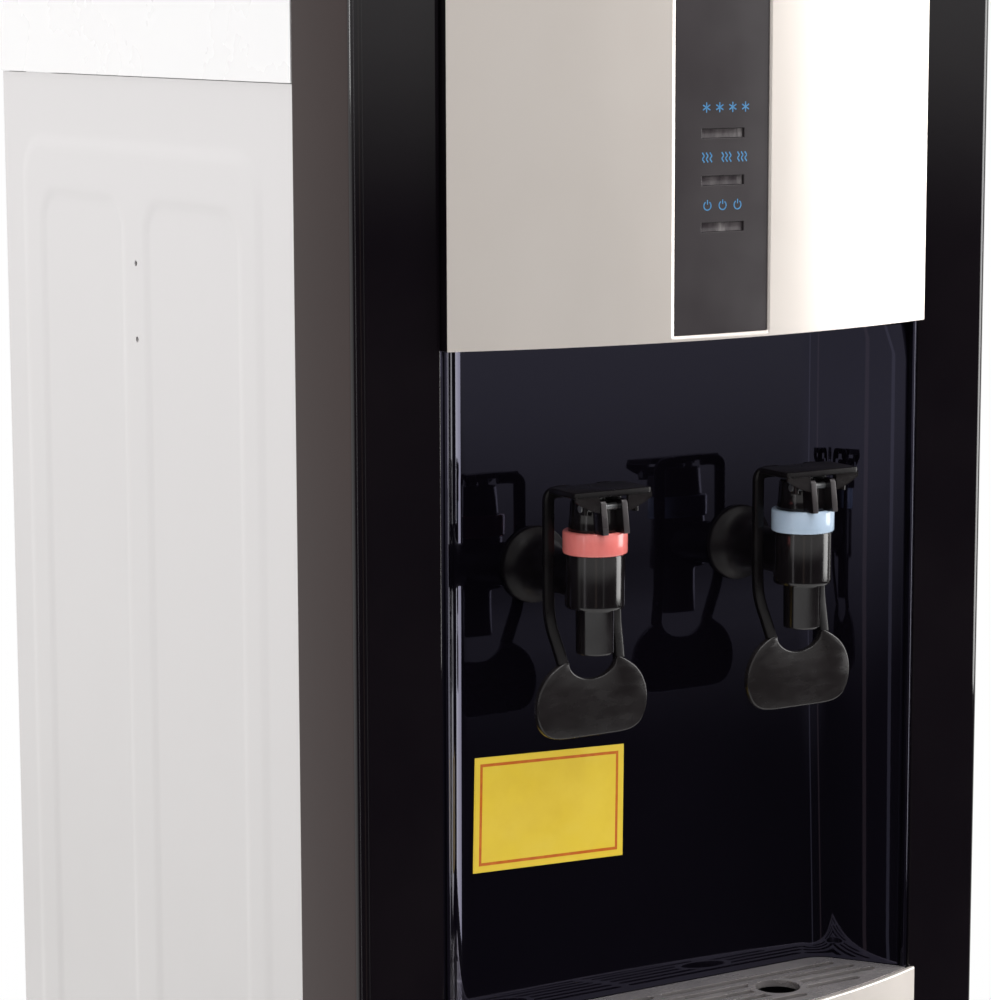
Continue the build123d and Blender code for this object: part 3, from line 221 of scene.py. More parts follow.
def make_materials():
    """Every finish by its name; colours are sRGB, relief is in millimetres."""
    finishes = {
        "black_gloss": Finish((13, 9, 14), 0.04).soften(0.5).patches((18, 14, 18), 14)
        .specks((96, 90, 88), 420, 0.05).sheen_of(0.025, 0.065, 30).bump(34, 0.012)
        .bump(700, 0.0012),
        # Painted reflection: the recess's reflections are tinted blue.
        "recess_gloss": Finish((9, 7, 13), 0.04, tint=(206, 204, 246)).lean(0.07)
        .patches((13, 11, 18), 9, 0.5, 0.9).specks((90, 86, 90), 380, 0.045)
        .sheen_of(0.02, 0.06, 24).bump(26, 0.02).bump(600, 0.001),
        "tap_black": Finish((17, 14, 16), 0.12).patches((24, 21, 23), 60)
        .specks((110, 105, 102), 900, 0.06).sheen_of(0.10, 0.2, 90).bump(160, 0.01)
        .bump(1800, 0.002),
        "lever_black": Finish((25, 22, 23), 0.24, level=0.4).patches((31, 28, 29), 70)
        .specks((120, 114, 110), 900, 0.06).sheen_of(0.18, 0.32, 80, (1, 1, 3)).bump(220, 0.012)
        .bump(2200, 0.004),
        # Painted shade: a darker, duller copy of the lever's black plastic, for its top plate and arms.
        "lever_painted_shade": Finish((11, 9, 11), 0.3, level=0.22).patches((17, 14, 16), 60)
        .specks((96, 92, 90), 900, 0.05).sheen_of(0.24, 0.38, 80).bump(200, 0.01).bump(1800, 0.003),
        "tap_satin": Finish((17, 14, 18), 0.34, level=0.16).patches((25, 22, 25), 60)
        .specks((100, 95, 92), 900, 0.05).sheen_of(0.28, 0.42, 80).bump(200, 0.01).bump(1800, 0.003),
        # Painted reflection: the side returns are the frame's glossy black, with reflections tinted
        # brown for the room they reflect.
        "return_painted_reflection": Finish((14, 9, 11), 0.05, level=0.45, tint=(170, 100, 84)).soften(0.5)
        .patches((20, 14, 15), 14).specks((90, 82, 78), 420, 0.05).sheen_of(0.03, 0.08, 30)
        .bump(34, 0.012).bump(700, 0.0012),
        "tap_grey": Finish((58, 54, 56), 0.3).patches((66, 62, 64), 70)
        .specks((130, 124, 120), 900, 0.06).sheen_of(0.24, 0.38, 80).bump(220, 0.01)
        .bump(2000, 0.003),
        # white_paint carries painted light: lighter towards the top, from 0.62 to 0.98 m, as if lit more
        # from above.
        "white_paint": Finish((197, 195, 195), 0.3, coat=0.2, coat_rough=0.15)
        .patches((193, 191, 191), 5, 0.35, 0.75).rise((215, 213, 214), 0.62, 0.98)
        .sheen_of(0.28, 0.42, 12).bump(1200, 0.01).bump(420, 0.02, 2),
        "white_cover": Finish((243, 243, 244), 0.3).soften(0.6).patches((241, 241, 242), 6)
        .sheen_of(0.24, 0.32, 18).bump(1500, 0.004),
        "silver": Finish((227, 219, 212), 0.36, metallic=0.55)
        .patches((231, 224, 218), 7, 0.35, 0.7).specks((236, 232, 228), 2600, 0.2)
        .sheen_of(0.32, 0.42, 20, (1, 1, 0.3)).bump(2600, 0.003).bump(60, 0.012, 2),
        "strip": Finish((50, 45, 48), 0.34).patches((56, 51, 54), 24)
        .specks((112, 104, 104), 500, 0.05).sheen_of(0.28, 0.44, 30).bump(1500, 0.006)
        .bump(80, 0.01),
        "lens": Finish((92, 87, 89), 0.24, coat=0.4)
        .patches((64, 58, 62), 260, 0.4, 0.62, (1.0, 1.0, 0.4))
        .patches((150, 146, 146), 170, 0.55, 0.75, (1.0, 1.0, 0.2)).sheen_of(0.1, 0.26, 120)
        .bump(500, 0.05, 2, (1, 1, 0.3)),
        "mark_blue": Finish((66, 132, 184), 0.4).patches((88, 150, 196), 700)
        .sheen_of(0.3, 0.5, 400).bump(3000, 0.004),
        "red_ring": Finish((246, 136, 130), 0.2, coat=0.3).patches((240, 126, 121), 120)
        .sheen_of(0.14, 0.28, 100).bump(900, 0.006),
        "blue_ring": Finish((195, 216, 238), 0.2, coat=0.3).patches((186, 207, 230), 120)
        .sheen_of(0.14, 0.28, 100).bump(900, 0.006),
        "sticker": Finish((246, 214, 64), 0.45).patches((240, 206, 56), 60)
        .patches((250, 222, 90), 20, 0.55, 0.8).sheen_of(0.35, 0.55, 90).bump(1500, 0.01)
        .bump(40, 0.06, 1),
        "sticker_line": Finish((214, 114, 18), 0.45).patches((202, 96, 14), 300)
        .sheen_of(0.35, 0.55, 90).bump(1500, 0.01),
        "grille": Finish((196, 190, 190), 0.28, metallic=0.7).patches((180, 175, 175), 90)
        .specks((216, 212, 210), 1500, 0.1).sheen_of(0.2, 0.36, 120, (0.15, 1, 1)).bump(900, 0.008),
        "matt_black": Finish((34, 32, 33), 0.5).soften(0.4).patches((42, 40, 41), 40)
        .sheen_of(0.42, 0.6, 60).bump(1400, 0.02).bump(300, 0.01),
        "rubber": Finish((30, 30, 30), 0.75).soften(0.5).patches((44, 43, 42), 70)
        .specks((90, 88, 84), 700, 0.1).sheen_of(0.65, 0.85, 60).bump(900, 0.04),
        "zinc": Finish((178, 180, 182), 0.34, metallic=0.9).soften(0.3)
        .patches((158, 160, 164), 70, 0.35, 0.65).sheen_of(0.26, 0.48, 50).bump(1300, 0.008),
        "galvanised": Finish((150, 152, 154), 0.42, metallic=0.7).soften(0.3)
        .patches((134, 137, 140), 30, 0.35, 0.65).patches((168, 170, 172), 90, 0.5, 0.7)
        .sheen_of(0.34, 0.55, 40).bump(1100, 0.01),
        "stainless": Finish((196, 196, 194), 0.24, metallic=1.0)
        .patches((176, 177, 178), 30, 0.35, 0.7, (1, 1, 6)).sheen_of(0.18, 0.34, 140, (1, 1, 12))
        .bump(900, 0.004, 2, (1, 1, 10)),
        "copper": Finish((196, 124, 88), 0.28, metallic=1.0).patches((148, 88, 62), 60, 0.45, 0.7)
        .sheen_of(0.22, 0.45, 80).bump(700, 0.01),
        "enamel": Finish((20, 20, 21), 0.3, coat=0.4).patches((28, 27, 27), 50)
        .specks((90, 86, 80), 500, 0.08).sheen_of(0.24, 0.42, 70).bump(500, 0.02),
        "foam": Finish((232, 226, 212), 0.8).patches((220, 212, 194), 35).sheen_of(0.7, 0.9, 50)
        .bump(240, 0.3).bump(900, 0.12),
        "hose": Finish((208, 210, 210), 0.3).patches((196, 199, 200), 50).sheen_of(0.24, 0.4, 80)
        .bump(500, 0.02),
        "white_part": Finish((226, 226, 224), 0.38).soften(0.5).patches((216, 216, 213), 30)
        .sheen_of(0.3, 0.46, 50).bump(1300, 0.012),
        "board_green": Finish((30, 88, 52), 0.4).patches((24, 70, 42), 160)
        .patches((150, 120, 60), 420, 0.68, 0.74).sheen_of(0.3, 0.5, 80).bump(600, 0.05),
        "ferrite": Finish((58, 56, 55), 0.5, metallic=0.3).patches((70, 67, 65), 90)
        .sheen_of(0.4, 0.6, 80).bump(800, 0.02),
        "switch_red": Finish((176, 22, 22), 0.22, coat=0.3).patches((160, 18, 18), 100)
        .sheen_of(0.16, 0.3, 80).bump(900, 0.01),
        "switch_green": Finish((22, 130, 54), 0.22, coat=0.3).patches((18, 116, 46), 100)
        .sheen_of(0.16, 0.3, 80).bump(900, 0.01),
    }
    return {name: finish.named(name) for name, finish in finishes.items()}


look = make_materials()

# The CAD's own solids, by finish.
NODE_LOOKS = {
    "black_gloss": "door_frame hot_tap_body cold_tap_body hot_tap_lever cold_tap_lever",
    "matt_black": "base_pan door_surround drip_tray tap_nuts water_pump condenser_brackets "
                  "switch_housings cord_gland drain_cap hot_tap_bonnet cold_tap_bonnet",
    "white_cover": "top_cover",
    "white_part": "door_liner bottle_probe probe_holder drain_outlet",
    "galvanised": "back_panel mid_shelf tank_bracket",
    "zinc": "door_hinges lever_pins screws",
    "stainless": "cold_tank hot_tank hot_tap_spring cold_tap_spring",
    "copper": "evaporator_coil refrigerant_lines",
    "enamel": "compressor condenser_coil condenser_wires",
    "rubber": "rubber_feet compressor_mounts",
    "foam": "tank_insulation hot_insulation",
    "hose": "suction_hose water_pipes hot_tap_stem cold_tap_stem",
    "board_green": "circuit_boards",
    "ferrite": "door_magnet",
    "switch_red": "hot_switch",
    "switch_green": "cold_switch",
    "red_ring": "hot_tap_ring",
    "blue_ring": "cold_tap_ring",
    "recess_gloss": "niche_shell front_frame",
    "silver": "fascia_panel tray_front door_skin",
    "strip": "indicator_strip",
    "lens": "indicator_lenses",
    "grille": "drip_grille",
    "white_paint": "left_side_panel right_side_panel",
}
for finish, names in NODE_LOOKS.items():
    for node in names.split():
        mesh = nodes[node].data
        mesh.materials.clear()
        mesh.materials.append(look[finish])


# ---- mesh helpers
def piece(name, verts, faces, finish, body, slot, replaces=(), bevel=0.0, segments=3,
          sharp=32.0, second=None, flags=()):
    """A mesh in millimetres that rides on a body; faces with a flag of 1 take the second finish."""
    mesh = bpy.data.meshes.new(name)
    mesh.from_pydata([mm(*v) for v in verts], [], faces)
    mesh.materials.append(look[finish])
    if second:
        mesh.materials.append(look[second])
        for polygon, flag in zip(mesh.polygons, flags):
            polygon.material_index = flag
    edit = bmesh.new()
    edit.from_mesh(mesh)
    bmesh.ops.remove_doubles(edit, verts=edit.verts, dist=1e-6)
    bmesh.ops.recalc_face_normals(edit, faces=edit.faces)
    edit.to_mesh(mesh)
    edit.free()
    for polygon in mesh.polygons:
        polygon.use_smooth = True
    mesh.set_sharp_from_angle(angle=math.radians(sharp))
    piece_object = bpy.data.objects.new(name, mesh)
    bpy.context.scene.collection.objects.link(piece_object)
    if bevel:
        rounding = piece_object.modifiers.new("edges", "BEVEL")
        rounding.width = bevel / 1000.0
        rounding.segments = segments
        rounding.limit_method = "ANGLE"
        rounding.angle_limit = math.radians(sharp)
        rounding.harden_normals = True
    if replaces:
        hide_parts(*replaces)
    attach(piece_object, body)
    return piece_object


def steps(a, b, count):
    """Evenly spaced values from a to b, with both ends."""
    return [a + (b - a) * i / count for i in range(count + 1)]


def plate(us, vs, solid, place):
    """A plate of cells; place(u, v, side) gives its outer (0) and inner (1) points, and solid(i, k) says
    which cells are there. Returns a closed mesh with walls round each opening."""
    index = {}
    verts = []
    faces = []

    def at(i, k, side):
        key = (i, k, side)
        if key not in index:
            index[key] = len(verts)
            verts.append(place(us[i], vs[k], side))
        return index[key]

    def there(i, k):
        return 0 <= i < len(us) - 1 and 0 <= k < len(vs) - 1 and solid(i, k)

    for i in range(len(us) - 1):
        for k in range(len(vs) - 1):
            if not there(i, k):
                continue
            corners = [(i, k), (i + 1, k), (i + 1, k + 1), (i, k + 1)]
            faces.append([at(a, b, 0) for a, b in corners])
            faces.append([at(a, b, 1) for a, b in reversed(corners)])
            for (a, b), (c, d), near in ((corners[0], corners[1], (i, k - 1)),
                                         (corners[1], corners[2], (i + 1, k)),
                                         (corners[2], corners[3], (i, k + 1)),
                                         (corners[3], corners[0], (i - 1, k))):
                if not there(*near):
                    faces.append([at(a, b, 0), at(a, b, 1), at(c, d, 1), at(c, d, 0)])
    return verts, faces


def rings(loops, closed=True, cap_first=False, cap_last=False):
    """Faces between loops that have the same number of points."""
    verts = [point for loop in loops for point in loop]
    size = len(loops[0])
    faces = []
    for row in range(len(loops) - 1):
        for i in range(size if closed else size - 1):
            j = (i + 1) % size
            faces.append([row * size + i, row * size + j, (row + 1) * size + j,
                          (row + 1) * size + i])
    if cap_first:
        faces.append(list(range(size)))
    if cap_last:
        faces.append([(len(loops) - 1) * size + i for i in reversed(range(size))])
    return verts, faces


def turned(profile, centre, axis="z", count=72):
    """A turned form: profile of (radius, distance along the axis) points."""
    loops = []
    for radius, along in profile:
        loop = []
        for i in range(count):
            a = 2 * math.pi * i / count
            u, v = radius * math.cos(a), radius * math.sin(a)
            x, y, z = centre
            loop.append((x + u, y + v, z + along) if axis == "z" else (x + u, y + along, z + v))
        loops.append(loop)
    return rings(loops)


def joined(*meshes):
    """Several meshes as one."""
    verts = []
    faces = []
    for more_verts, more_faces in meshes:
        start = len(verts)
        verts += more_verts
        faces += [[start + i for i in face] for face in more_faces]
    return verts, faces


def bar(section, path):
    """A section carried along a path: its first coordinate lies along y, its second across the path."""
    loops = []
    side = Vector((0, 1, 0))
    last = len(path) - 1
    for i, point in enumerate(path):
        ahead = Vector(path[min(i + 1, last)]) - Vector(path[max(i - 1, 0)])
        up = side.cross(ahead).normalized()
        flat = ahead.cross(up).normalized()
        loops.append([tuple(Vector(point) + flat * u + up * v) for u, v in section])
    return rings(loops, cap_first=True, cap_last=True)


def rounded_section(width, height, radius):
    """Outline of a rectangle with rounded corners, round the middle."""
    count = 5
    points = []
    for cx, cy, start in ((1, 1, 0), (-1, 1, 90), (-1, -1, 180), (1, -1, 270)):
        for i in range(count + 1):
            a = math.radians(start + 90 * i / count)
            points.append((cx * (width / 2 - radius) + radius * math.cos(a),
                           cy * (height / 2 - radius) + radius * math.sin(a)))
    return points


def cut_corners(points, rounds, closed):
    """Corner cutting; an open path keeps its ends."""
    path = [Vector(p) for p in points]
    for _ in range(rounds):
        new = [] if closed else [path[0]]
        for a, b in zip(path, path[1:] + path[:1] if closed else path[1:]):
            new += [a.lerp(b, 0.25), a.lerp(b, 0.75)]
        path = new if closed else new + [path[-1]]
    return path


def arc_front(half, edge, rise):
    """Function that gives the y of a bowed front at x, and of surfaces behind it."""
    radius = (half ** 2 + rise ** 2) / (2 * rise)
    centre = radius - rise - edge

    def front(x, behind=0.0):
        return centre - math.sqrt((radius - behind) ** 2 - x ** 2)
    return front


# ---- side panels
def inside_rounded(y, z, y0, y1, z0, z1, radius):
    """Distance into a rounded rectangle, positive inside."""
    dy = max(y0 + radius - y, y - y1 + radius)
    dz = max(z0 + radius - z, z - z1 + radius)
    if dy > 0 and dz > 0:
        return radius - math.hypot(dy, dz)
    return radius - max(dy, dz)


def soft(value, width):
    """0 to 1, with a smooth slope of this width round 0."""
    t = min(max(value / width + 0.5, 0.0), 1.0)
    return t * t * (3 - 2 * t)


def side_panel(side):
    """Pressed panel: a raised border round two long fields, with smooth slopes, and two small holes."""
    flat, emboss, sheet = 154.2, 0.8, 1.0
    y0, y1 = FRAME_DEPTH + 0.3, PANEL_BACK
    z0, z1 = 30.0, SEAM - 0.3
    hole_y, reach, radius = 189.9, 2.0, 1.3
    levels = [ROOF - 9.6, ROOF + 22.9]
    ys = [y0] + steps(y0 + 1.0, hole_y - reach, 74) + steps(hole_y + reach, y1 - 1.0, 72) + [y1]
    zs = [z0] + steps(z0 + 1.0, ROOF - 60, 190) + steps(ROOF - 58, levels[0] - reach, 20)
    zs += steps(levels[0] + reach, levels[1] - reach, 14)
    zs += steps(levels[1] + reach, z1 - 1.0, 42) + [z1]
    middle = ys.index(hole_y - reach)
    rows = [zs.index(level - reach) for level in levels]

    def height(y, z):
        border = soft(inside_rounded(y, z, 78, 305, 90, ROOF + 72, 18), 7)
        wide = soft(inside_rounded(y, z, 95.5, 180, 112, ROOF + 49.5, 14), 5)
        narrow = soft(inside_rounded(y, z, 203, 285, 112, ROOF + 49.5, 14), 5)
        return emboss * border * (1 - wide) * (1 - narrow)

    def place(y, z, skin):
        return (side * (flat + (height(y, z) if skin == 0 else -sheet)), y, z)

    parts = [plate(ys, zs, lambda i, k: not (i == middle and k in rows), place)]
    for level in levels:
        square, round_, deep = [], [], []
        for i in range(32):
            a = 2 * math.pi * i / 32
            u, v = math.cos(a), math.sin(a)
            most = max(abs(u), abs(v))
            square.append((side * (flat + emboss), hole_y + reach * u / most, level + reach * v / most))
            round_.append((side * (flat + emboss), hole_y + radius * u, level + radius * v))
            deep.append((side * (flat - sheet), hole_y + radius * u, level + radius * v))
        parts.append(rings([square, round_, deep]))
    for low, high in ((y0, y0 + sheet), (y1 - sheet, y1)):
        parts.append(plate([143.2, 153.2], [z0, z1], lambda i, k: True,
                           lambda u, z, s, a=low, b=high: (side * u, (a, b)[s], z)))
    word = "right" if side > 0 else "left"
    # The panels' paint is lighter towards the top: painted light.
    piece(word + "_panel_skin", *joined(*parts), "white_paint", "cabinet", "white_steel",
          [word + "_side_panel"], sharp=40)


side_panel(-1)
side_panel(1)


# ---- front frame
def front_frame():
    """Dark frame in plan: side returns, round corners and pilasters, open at the recess."""
    half, depth, radius, wall = FRAME_HALF, FRAME_DEPTH, 5.0, 2.5
    outline = [(-half, depth, -1, 0), (-half, radius + 0.01, -1, 0)]
    for i in range(1, 12):
        a = math.radians(90 * i / 12)
        outline.append((-half + radius - radius * math.cos(a), radius - radius * math.sin(a),
                        -math.cos(a), -math.sin(a)))
    outline += [(x, 0.0, 0, -1) for x in (-half + radius, -RECESS_HALF, 0, RECESS_HALF, half - radius)]
    for i in range(1, 12):
        a = math.radians(90 * i / 12)
        outline.append((half - radius + radius * math.sin(a), radius - radius * math.cos(a),
                        math.sin(a), -math.cos(a)))
    outline += [(half, radius + 0.01, 1, 0), (half, depth, 1, 0)]
    us = list(range(len(outline)))
    vs = [FRAME_LOW, FRAME_LOW + wall, BAND + 0.3, FRAME_TOP]
    first = 2 + 11 + 1      # outline's cell to the right of the left pilaster

    def place(u, v, skin):
        x, y, nx, ny = outline[u]
        if skin == 0:
            return (x, y, v)
        z = min(max(v, FRAME_LOW + wall), FRAME_TOP - wall)
        return (x - nx * wall, y - ny * wall, z)

    def solid(i, k):
        return not (k == 1 and i in (first, first + 1))

    verts, faces = plate(us, vs, solid, place)
    count = len(verts)
    top = [(x, y, FRAME_TOP - 0.02) for x, y, _, _ in outline]
    base = [(x, y, FRAME_LOW + 0.02) for x, y, _, _ in outline]
    verts += top + base
    size = len(outline)
    faces.append([count + i for i in range(size)])
    faces.append([count + size + i for i in reversed(range(size))])
    # The side returns take the copy of the black whose brown reflection tint is painted.
    flags = [int(all(abs(verts[i][0]) > half - 0.1 for i in face)) for face in faces]
    piece("front_frame_shell", verts, faces, "black_gloss", "cabinet", "black_gloss",
          ["front_frame"], bevel=0.9, segments=4, second="return_painted_reflection", flags=flags)


front_frame()

# ---- silver fascia and indicator strip
fascia_y = arc_front(FASCIA_HALF, 4.2, 18.2)


def fascia():
    """Bowed panel with a sloping lip round the strip and dark ends."""
    half, left, right = FASCIA_HALF, -STRIP_HALF - 0.1, STRIP_HALF + 0.1
    xs = steps(-half, left - 1.9, 30) + steps(left, right, 14) + steps(right + 0.6, half, 30)
    zs = [ROOF, STRIP_LOW - 1.1, STRIP_LOW, STRIP_HIGH, STRIP_HIGH + 1.1, BAND]

    def place(x, z, skin):
        lip = left - 0.01 < x < right + 0.01 and STRIP_LOW - 0.01 < z < STRIP_HIGH + 0.01
        return (x, fascia_y(x, STRIP_SINK if lip else 0.0) if skin == 0 else 2.4, z)

    def solid(i, k):
        return not (k == 2 and left < (xs[i] + xs[i + 1]) / 2 < right)

    verts, faces = plate(xs, zs, solid, place)
    flags = [int(all(abs(verts[i][0]) > half - 0.01 for i in face)) for face in faces]
    piece("fascia_skin", verts, faces, "silver", "cabinet", "silver_finish",
          ["fascia_panel"], bevel=0.35, sharp=10, second="black_gloss",
          flags=flags)


fascia()


def strip():
    """Dark indicator strip with three windows, and the ribbed lenses in them."""
    half, window, rim = STRIP_HALF, WINDOW_HALF, 1.9
    xs = steps(-half, -window, 8) + steps(-window, window, 12)[1:] + steps(window, half, 8)[1:]
    zs = [STRIP_LOW + 0.05]
    for level in WINDOW_LEVELS:
        zs += [level - rim, level + rim]
    zs.append(STRIP_HIGH - 0.05)

    def place(x, z, skin):
        return (x, fascia_y(x, STRIP_SINK if skin == 0 else 3.4), z)

    def solid(i, k):
        return not (k % 2 == 1 and abs((xs[i] + xs[i + 1]) / 2) < window)

    verts, faces = plate(xs, zs, solid, place)
    piece("indicator_strip_skin", verts, faces, "strip", "cabinet", "strip_plastic",
          ["indicator_strip"], bevel=0.25)
    parts = []
    for level in WINDOW_LEVELS:
        columns = steps(-window + 0.12, window - 0.12, 24)
        rows = [level - rim + 0.12, level - 1.2, level + 1.2, level + rim - 0.12]

        def lens_place(x, z, skin, mid=level):
            step = 0.12 if abs(z - mid) < 1.3 else 0.0
            rib = 0.2 * math.exp(-((x - 1.5) / 1.2) ** 2) + 0.2 * math.exp(-((x - 7.6) / 1.5) ** 2)
            return (x, fascia_y(x, STRIP_SINK + 0.95 + step - rib if skin == 0 else 3.3), z)

        parts.append(plate(columns, rows, lambda i, k: True, lens_place))
    verts, faces = joined(*parts)
    piece("lens_blocks", verts, faces, "lens", "cabinet", "clear_lens", ["indicator_lenses"],
          bevel=0.1, segments=2)


strip()


def marks():
    """Generic pictures above the windows: rows for cold, heat and power."""
    def stroke(points, width):
        left, right = [], []
        for i, (x, z) in enumerate(points):
            x0, z0 = points[max(i - 1, 0)]
            x1, z1 = points[min(i + 1, len(points) - 1)]
            length = math.hypot(x1 - x0, z1 - z0) or 1.0
            nx, nz = -(z1 - z0) / length * width / 2, (x1 - x0) / length * width / 2
            left.append((x + nx, z + nz))
            right.append((x - nx, z - nz))
        loops = [left, right]
        outer = [[(x, fascia_y(x, STRIP_SINK - 0.06), z) for x, z in loop] for loop in loops]
        inner = [[(x, fascia_y(x, STRIP_SINK + 0.1), z) for x, z in loop] for loop in loops]
        return rings([outer[0], outer[1], inner[1], inner[0], outer[0]], closed=False)

    strokes = []
    z = ROOF + 91.7
    for x in (-8.2, -1.9, 4.4, 10.7):
        for i in range(3):
            a = math.radians(30 + 60 * i)
            dx, dz = 2.0 * math.cos(a), 2.0 * math.sin(a)
            strokes.append(stroke([(x - dx, z - dz), (x + dx, z + dz)], 0.5))
    z = ROOF + 72.15
    for x in (-9.6, -7.8, -6.0, -0.3, 1.5, 3.3, 7.4, 9.2, 11.0):
        wave = [(x + 0.4 * math.sin(t * 2.6), z + t) for t in steps(-2.0, 2.0, 10)]
        strokes.append(stroke(wave, 0.55))
    z = ROOF + 53.45
    for x in (-7.5, -0.2, 7.1):
        turn = [(x + 1.7 * math.sin(math.radians(a)), z - 0.3 + 1.7 * math.cos(math.radians(a)))
                for a in steps(32, 328, 24)]
        strokes.append(stroke(turn, 0.5))
        strokes.append(stroke([(x, z + 0.2), (x, z + 2.0)], 0.5))
    verts, faces = joined(*strokes)
    piece("indicator_marks", verts, faces, "mark_blue", "cabinet", "strip_plastic")


marks()


# ---- tap recess
def recess_line(depth, inset, mouth_y, count=10):
    """Plan of the recess from one side of its mouth to the other."""
    slope = (RECESS_HALF - RECESS_BACK_HALF) / RECESS_DEPTH
    side = inset * math.hypot(1, slope)
    back = depth - inset
    far = RECESS_HALF - slope * back - side
    mouth = RECESS_HALF - slope * mouth_y - side
    radius = RECESS_CORNER - inset
    cut = radius * math.tan((math.pi / 2 - math.atan(slope)) / 2)
    along = Vector((RECESS_HALF - side - far, -back)).normalized()
    start = Vector((far, back)) + along * cut
    centre = Vector((far - cut, back - radius))
    first = math.atan2(start.y - centre.y, start.x - centre.x)
    arc = [(centre.x + radius * math.cos(a), centre.y + radius * math.sin(a))
           for a in steps(first, math.pi / 2, count)]
    right = [(mouth, mouth_y)] + arc
    left = [(-x, y) for x, y in right]
    middle = [(x, back) for x in steps(-far + cut, far - cut, 6)][1:-1]
    return left + middle + right[::-1]


def wall_y(z):
    """The recess's back wall leans forward below the taps."""
    bend = 809.9
    t = min(max((z - GRILLE) / (bend - GRILLE), 0.0), 1.0)
    return TRAY_DEPTH + (RECESS_DEPTH - TRAY_DEPTH) * t


def recess():
    """Glossy shell behind the taps and round the tray, with two slim lips at its mouth."""
    levels = [(ROOF - 0.4, RECESS_DEPTH, 0.5)]
    levels += [(z, wall_y(z), 0.5) for z in steps(ROOF - 20, GRILLE + 0.2, 24)]
    levels += [(TRAY - 2, TRAY_DEPTH, 0.25), (FRAME_LOW + 6, TRAY_DEPTH, 0.25)]
    loops = []
    for z, depth, inset in levels:
        loops.append([(x, y, z) for x, y in recess_line(depth, inset, 0.4)])
    verts, faces = rings(loops, closed=False, cap_first=True, cap_last=True)
    shell = piece("recess_shell", verts, faces, "recess_gloss", "cabinet", "black_gloss",
                  ["niche_shell"], sharp=50)
    wall = shell.modifiers.new("wall", "SOLIDIFY")
    wall.thickness = 0.0018
    wall.offset = 1.0
    lips = []
    for side in (-1, 1):
        section = [(side * 115.2 + u, 1.1 + v) for u, v in rounded_section(1.5, 3.0, 0.7)]
        lips.append(rings([[(x, y, z) for x, y in section]
                           for z in (FRAME_LOW + 3.0, GRILLE, ROOF - 0.6)],
                          cap_first=True, cap_last=True))
    verts, faces = joined(*lips)
    piece("recess_lips", verts, faces, "recess_gloss", "cabinet", "black_gloss", sharp=60)


recess()


def sticker():
    """Plain yellow label with a border line; its corners are x and the height over the recess's roof."""
    corners = [(-82.6, -219.9), (-8.9, -222.3), (-7.7, -174.8), (-80.9, -172.0)]
    us = [0, 0.037, 0.0535] + steps(0.0535, 0.9465, 12)[1:-1] + [0.9465, 0.963, 1.0]
    vs = [0, 0.057, 0.083] + steps(0.083, 0.917, 8)[1:-1] + [0.917, 0.943, 1.0]

    def point(u, v, skin):
        a = Vector(corners[0]).lerp(Vector(corners[1]), u)
        b = Vector(corners[3]).lerp(Vector(corners[2]), u)
        p = a.lerp(b, v)
        lift = 0.28 + 0.05 * math.sin(9 * u + 3) * math.sin(7 * v)
        return (p.x, wall_y(ROOF + p.y) - 0.5 - (lift if skin == 0 else 0.02), ROOF + p.y)

    verts, faces = plate(us, vs, lambda i, k: True, point)
    last_u, last_v = len(us) - 3, len(vs) - 3
    line = [Vector(point((us[i] + us[i + 1]) / 2, (vs[k] + vs[k + 1]) / 2, 0))
            for i in range(1, last_u + 1) for k in range(1, last_v + 1)
            if i in (1, last_u) or k in (1, last_v)]
    flags = []
    for face in faces:
        middle = sum((Vector(verts[i]) for i in face), Vector()) / len(face)
        flags.append(int(any((spot - middle).length < 0.3 for spot in line)))
    piece("plain_sticker", verts, faces, "sticker", "cabinet", "black_gloss", sharp=60,
          second="sticker_line", flags=flags)


sticker()


# ---- drip tray and grille
def tray_outline(inset):
    """Closed plan of the tray: the recess and the bow in front of it."""
    radius = (BOW_HALF ** 2 + BOW_RISE ** 2) / (2 * BOW_RISE)
    bow = radius - 2.8 - inset
    centre = radius - BOW_RISE - BOW_EDGE
    side = 114.6 - inset
    front = [(x, centre - math.sqrt(bow ** 2 - x ** 2)) for x in steps(side, -side, 40)]
    return recess_line(TRAY_DEPTH, 1.0 + inset, 0.0, 12) + front


def tray_front():
    """Bowed front of the drip tray, with its foot and its two returned ends."""
    half, wall = BOW_HALF, 2.5
    front = arc_front(half, BOW_EDGE, BOW_RISE)
    xs = steps(-half, half, 72)
    zs = [FRAME_LOW + 2.5, FRAME_LOW + 5.0, GRILLE]

    def place(x, z, skin):
        if skin == 0:
            return (x, front(x), z)
        bounded = max(min(x, half - wall), wall - half)
        return (bounded, front(bounded, wall), z)

    verts, faces = plate(xs, zs, lambda i, k: True, place)
    low = [(x, front(x) + 0.05, FRAME_LOW + 2.6) for x in xs] + [(half, -0.6, FRAME_LOW + 2.6),
                                                               (-half, -0.6, FRAME_LOW + 2.6)]
    high = [(x, y, FRAME_LOW + 5.0) for x, y, _ in low]
    base = rings([low, high], cap_first=True, cap_last=True)
    ends = []
    for side in (-1, 1):
        x0, x1 = side * half, side * (half - wall)
        ends.append(plate([0, 1], [FRAME_LOW + 2.6, GRILLE], lambda i, k: True,
                          lambda u, z, s, a=x0, b=x1: ((a, b)[s], (-2.4, -0.6)[u], z)))
    verts, faces = joined((verts, faces), base, *ends)
    piece("tray_bow", verts, faces, "silver", "tray", "silver_finish", ["tray_front"],
          bevel=0.7, segments=4)


tray_front()


def crossings(outline, y):
    """Where the line at y crosses a closed outline, in order."""
    found = []
    for (x0, y0), (x1, y1) in zip(outline, outline[1:] + outline[:1]):
        if (y0 <= y) != (y1 <= y):
            found.append(x0 + (x1 - x0) * (y - y0) / (y1 - y0))
    return sorted(found)


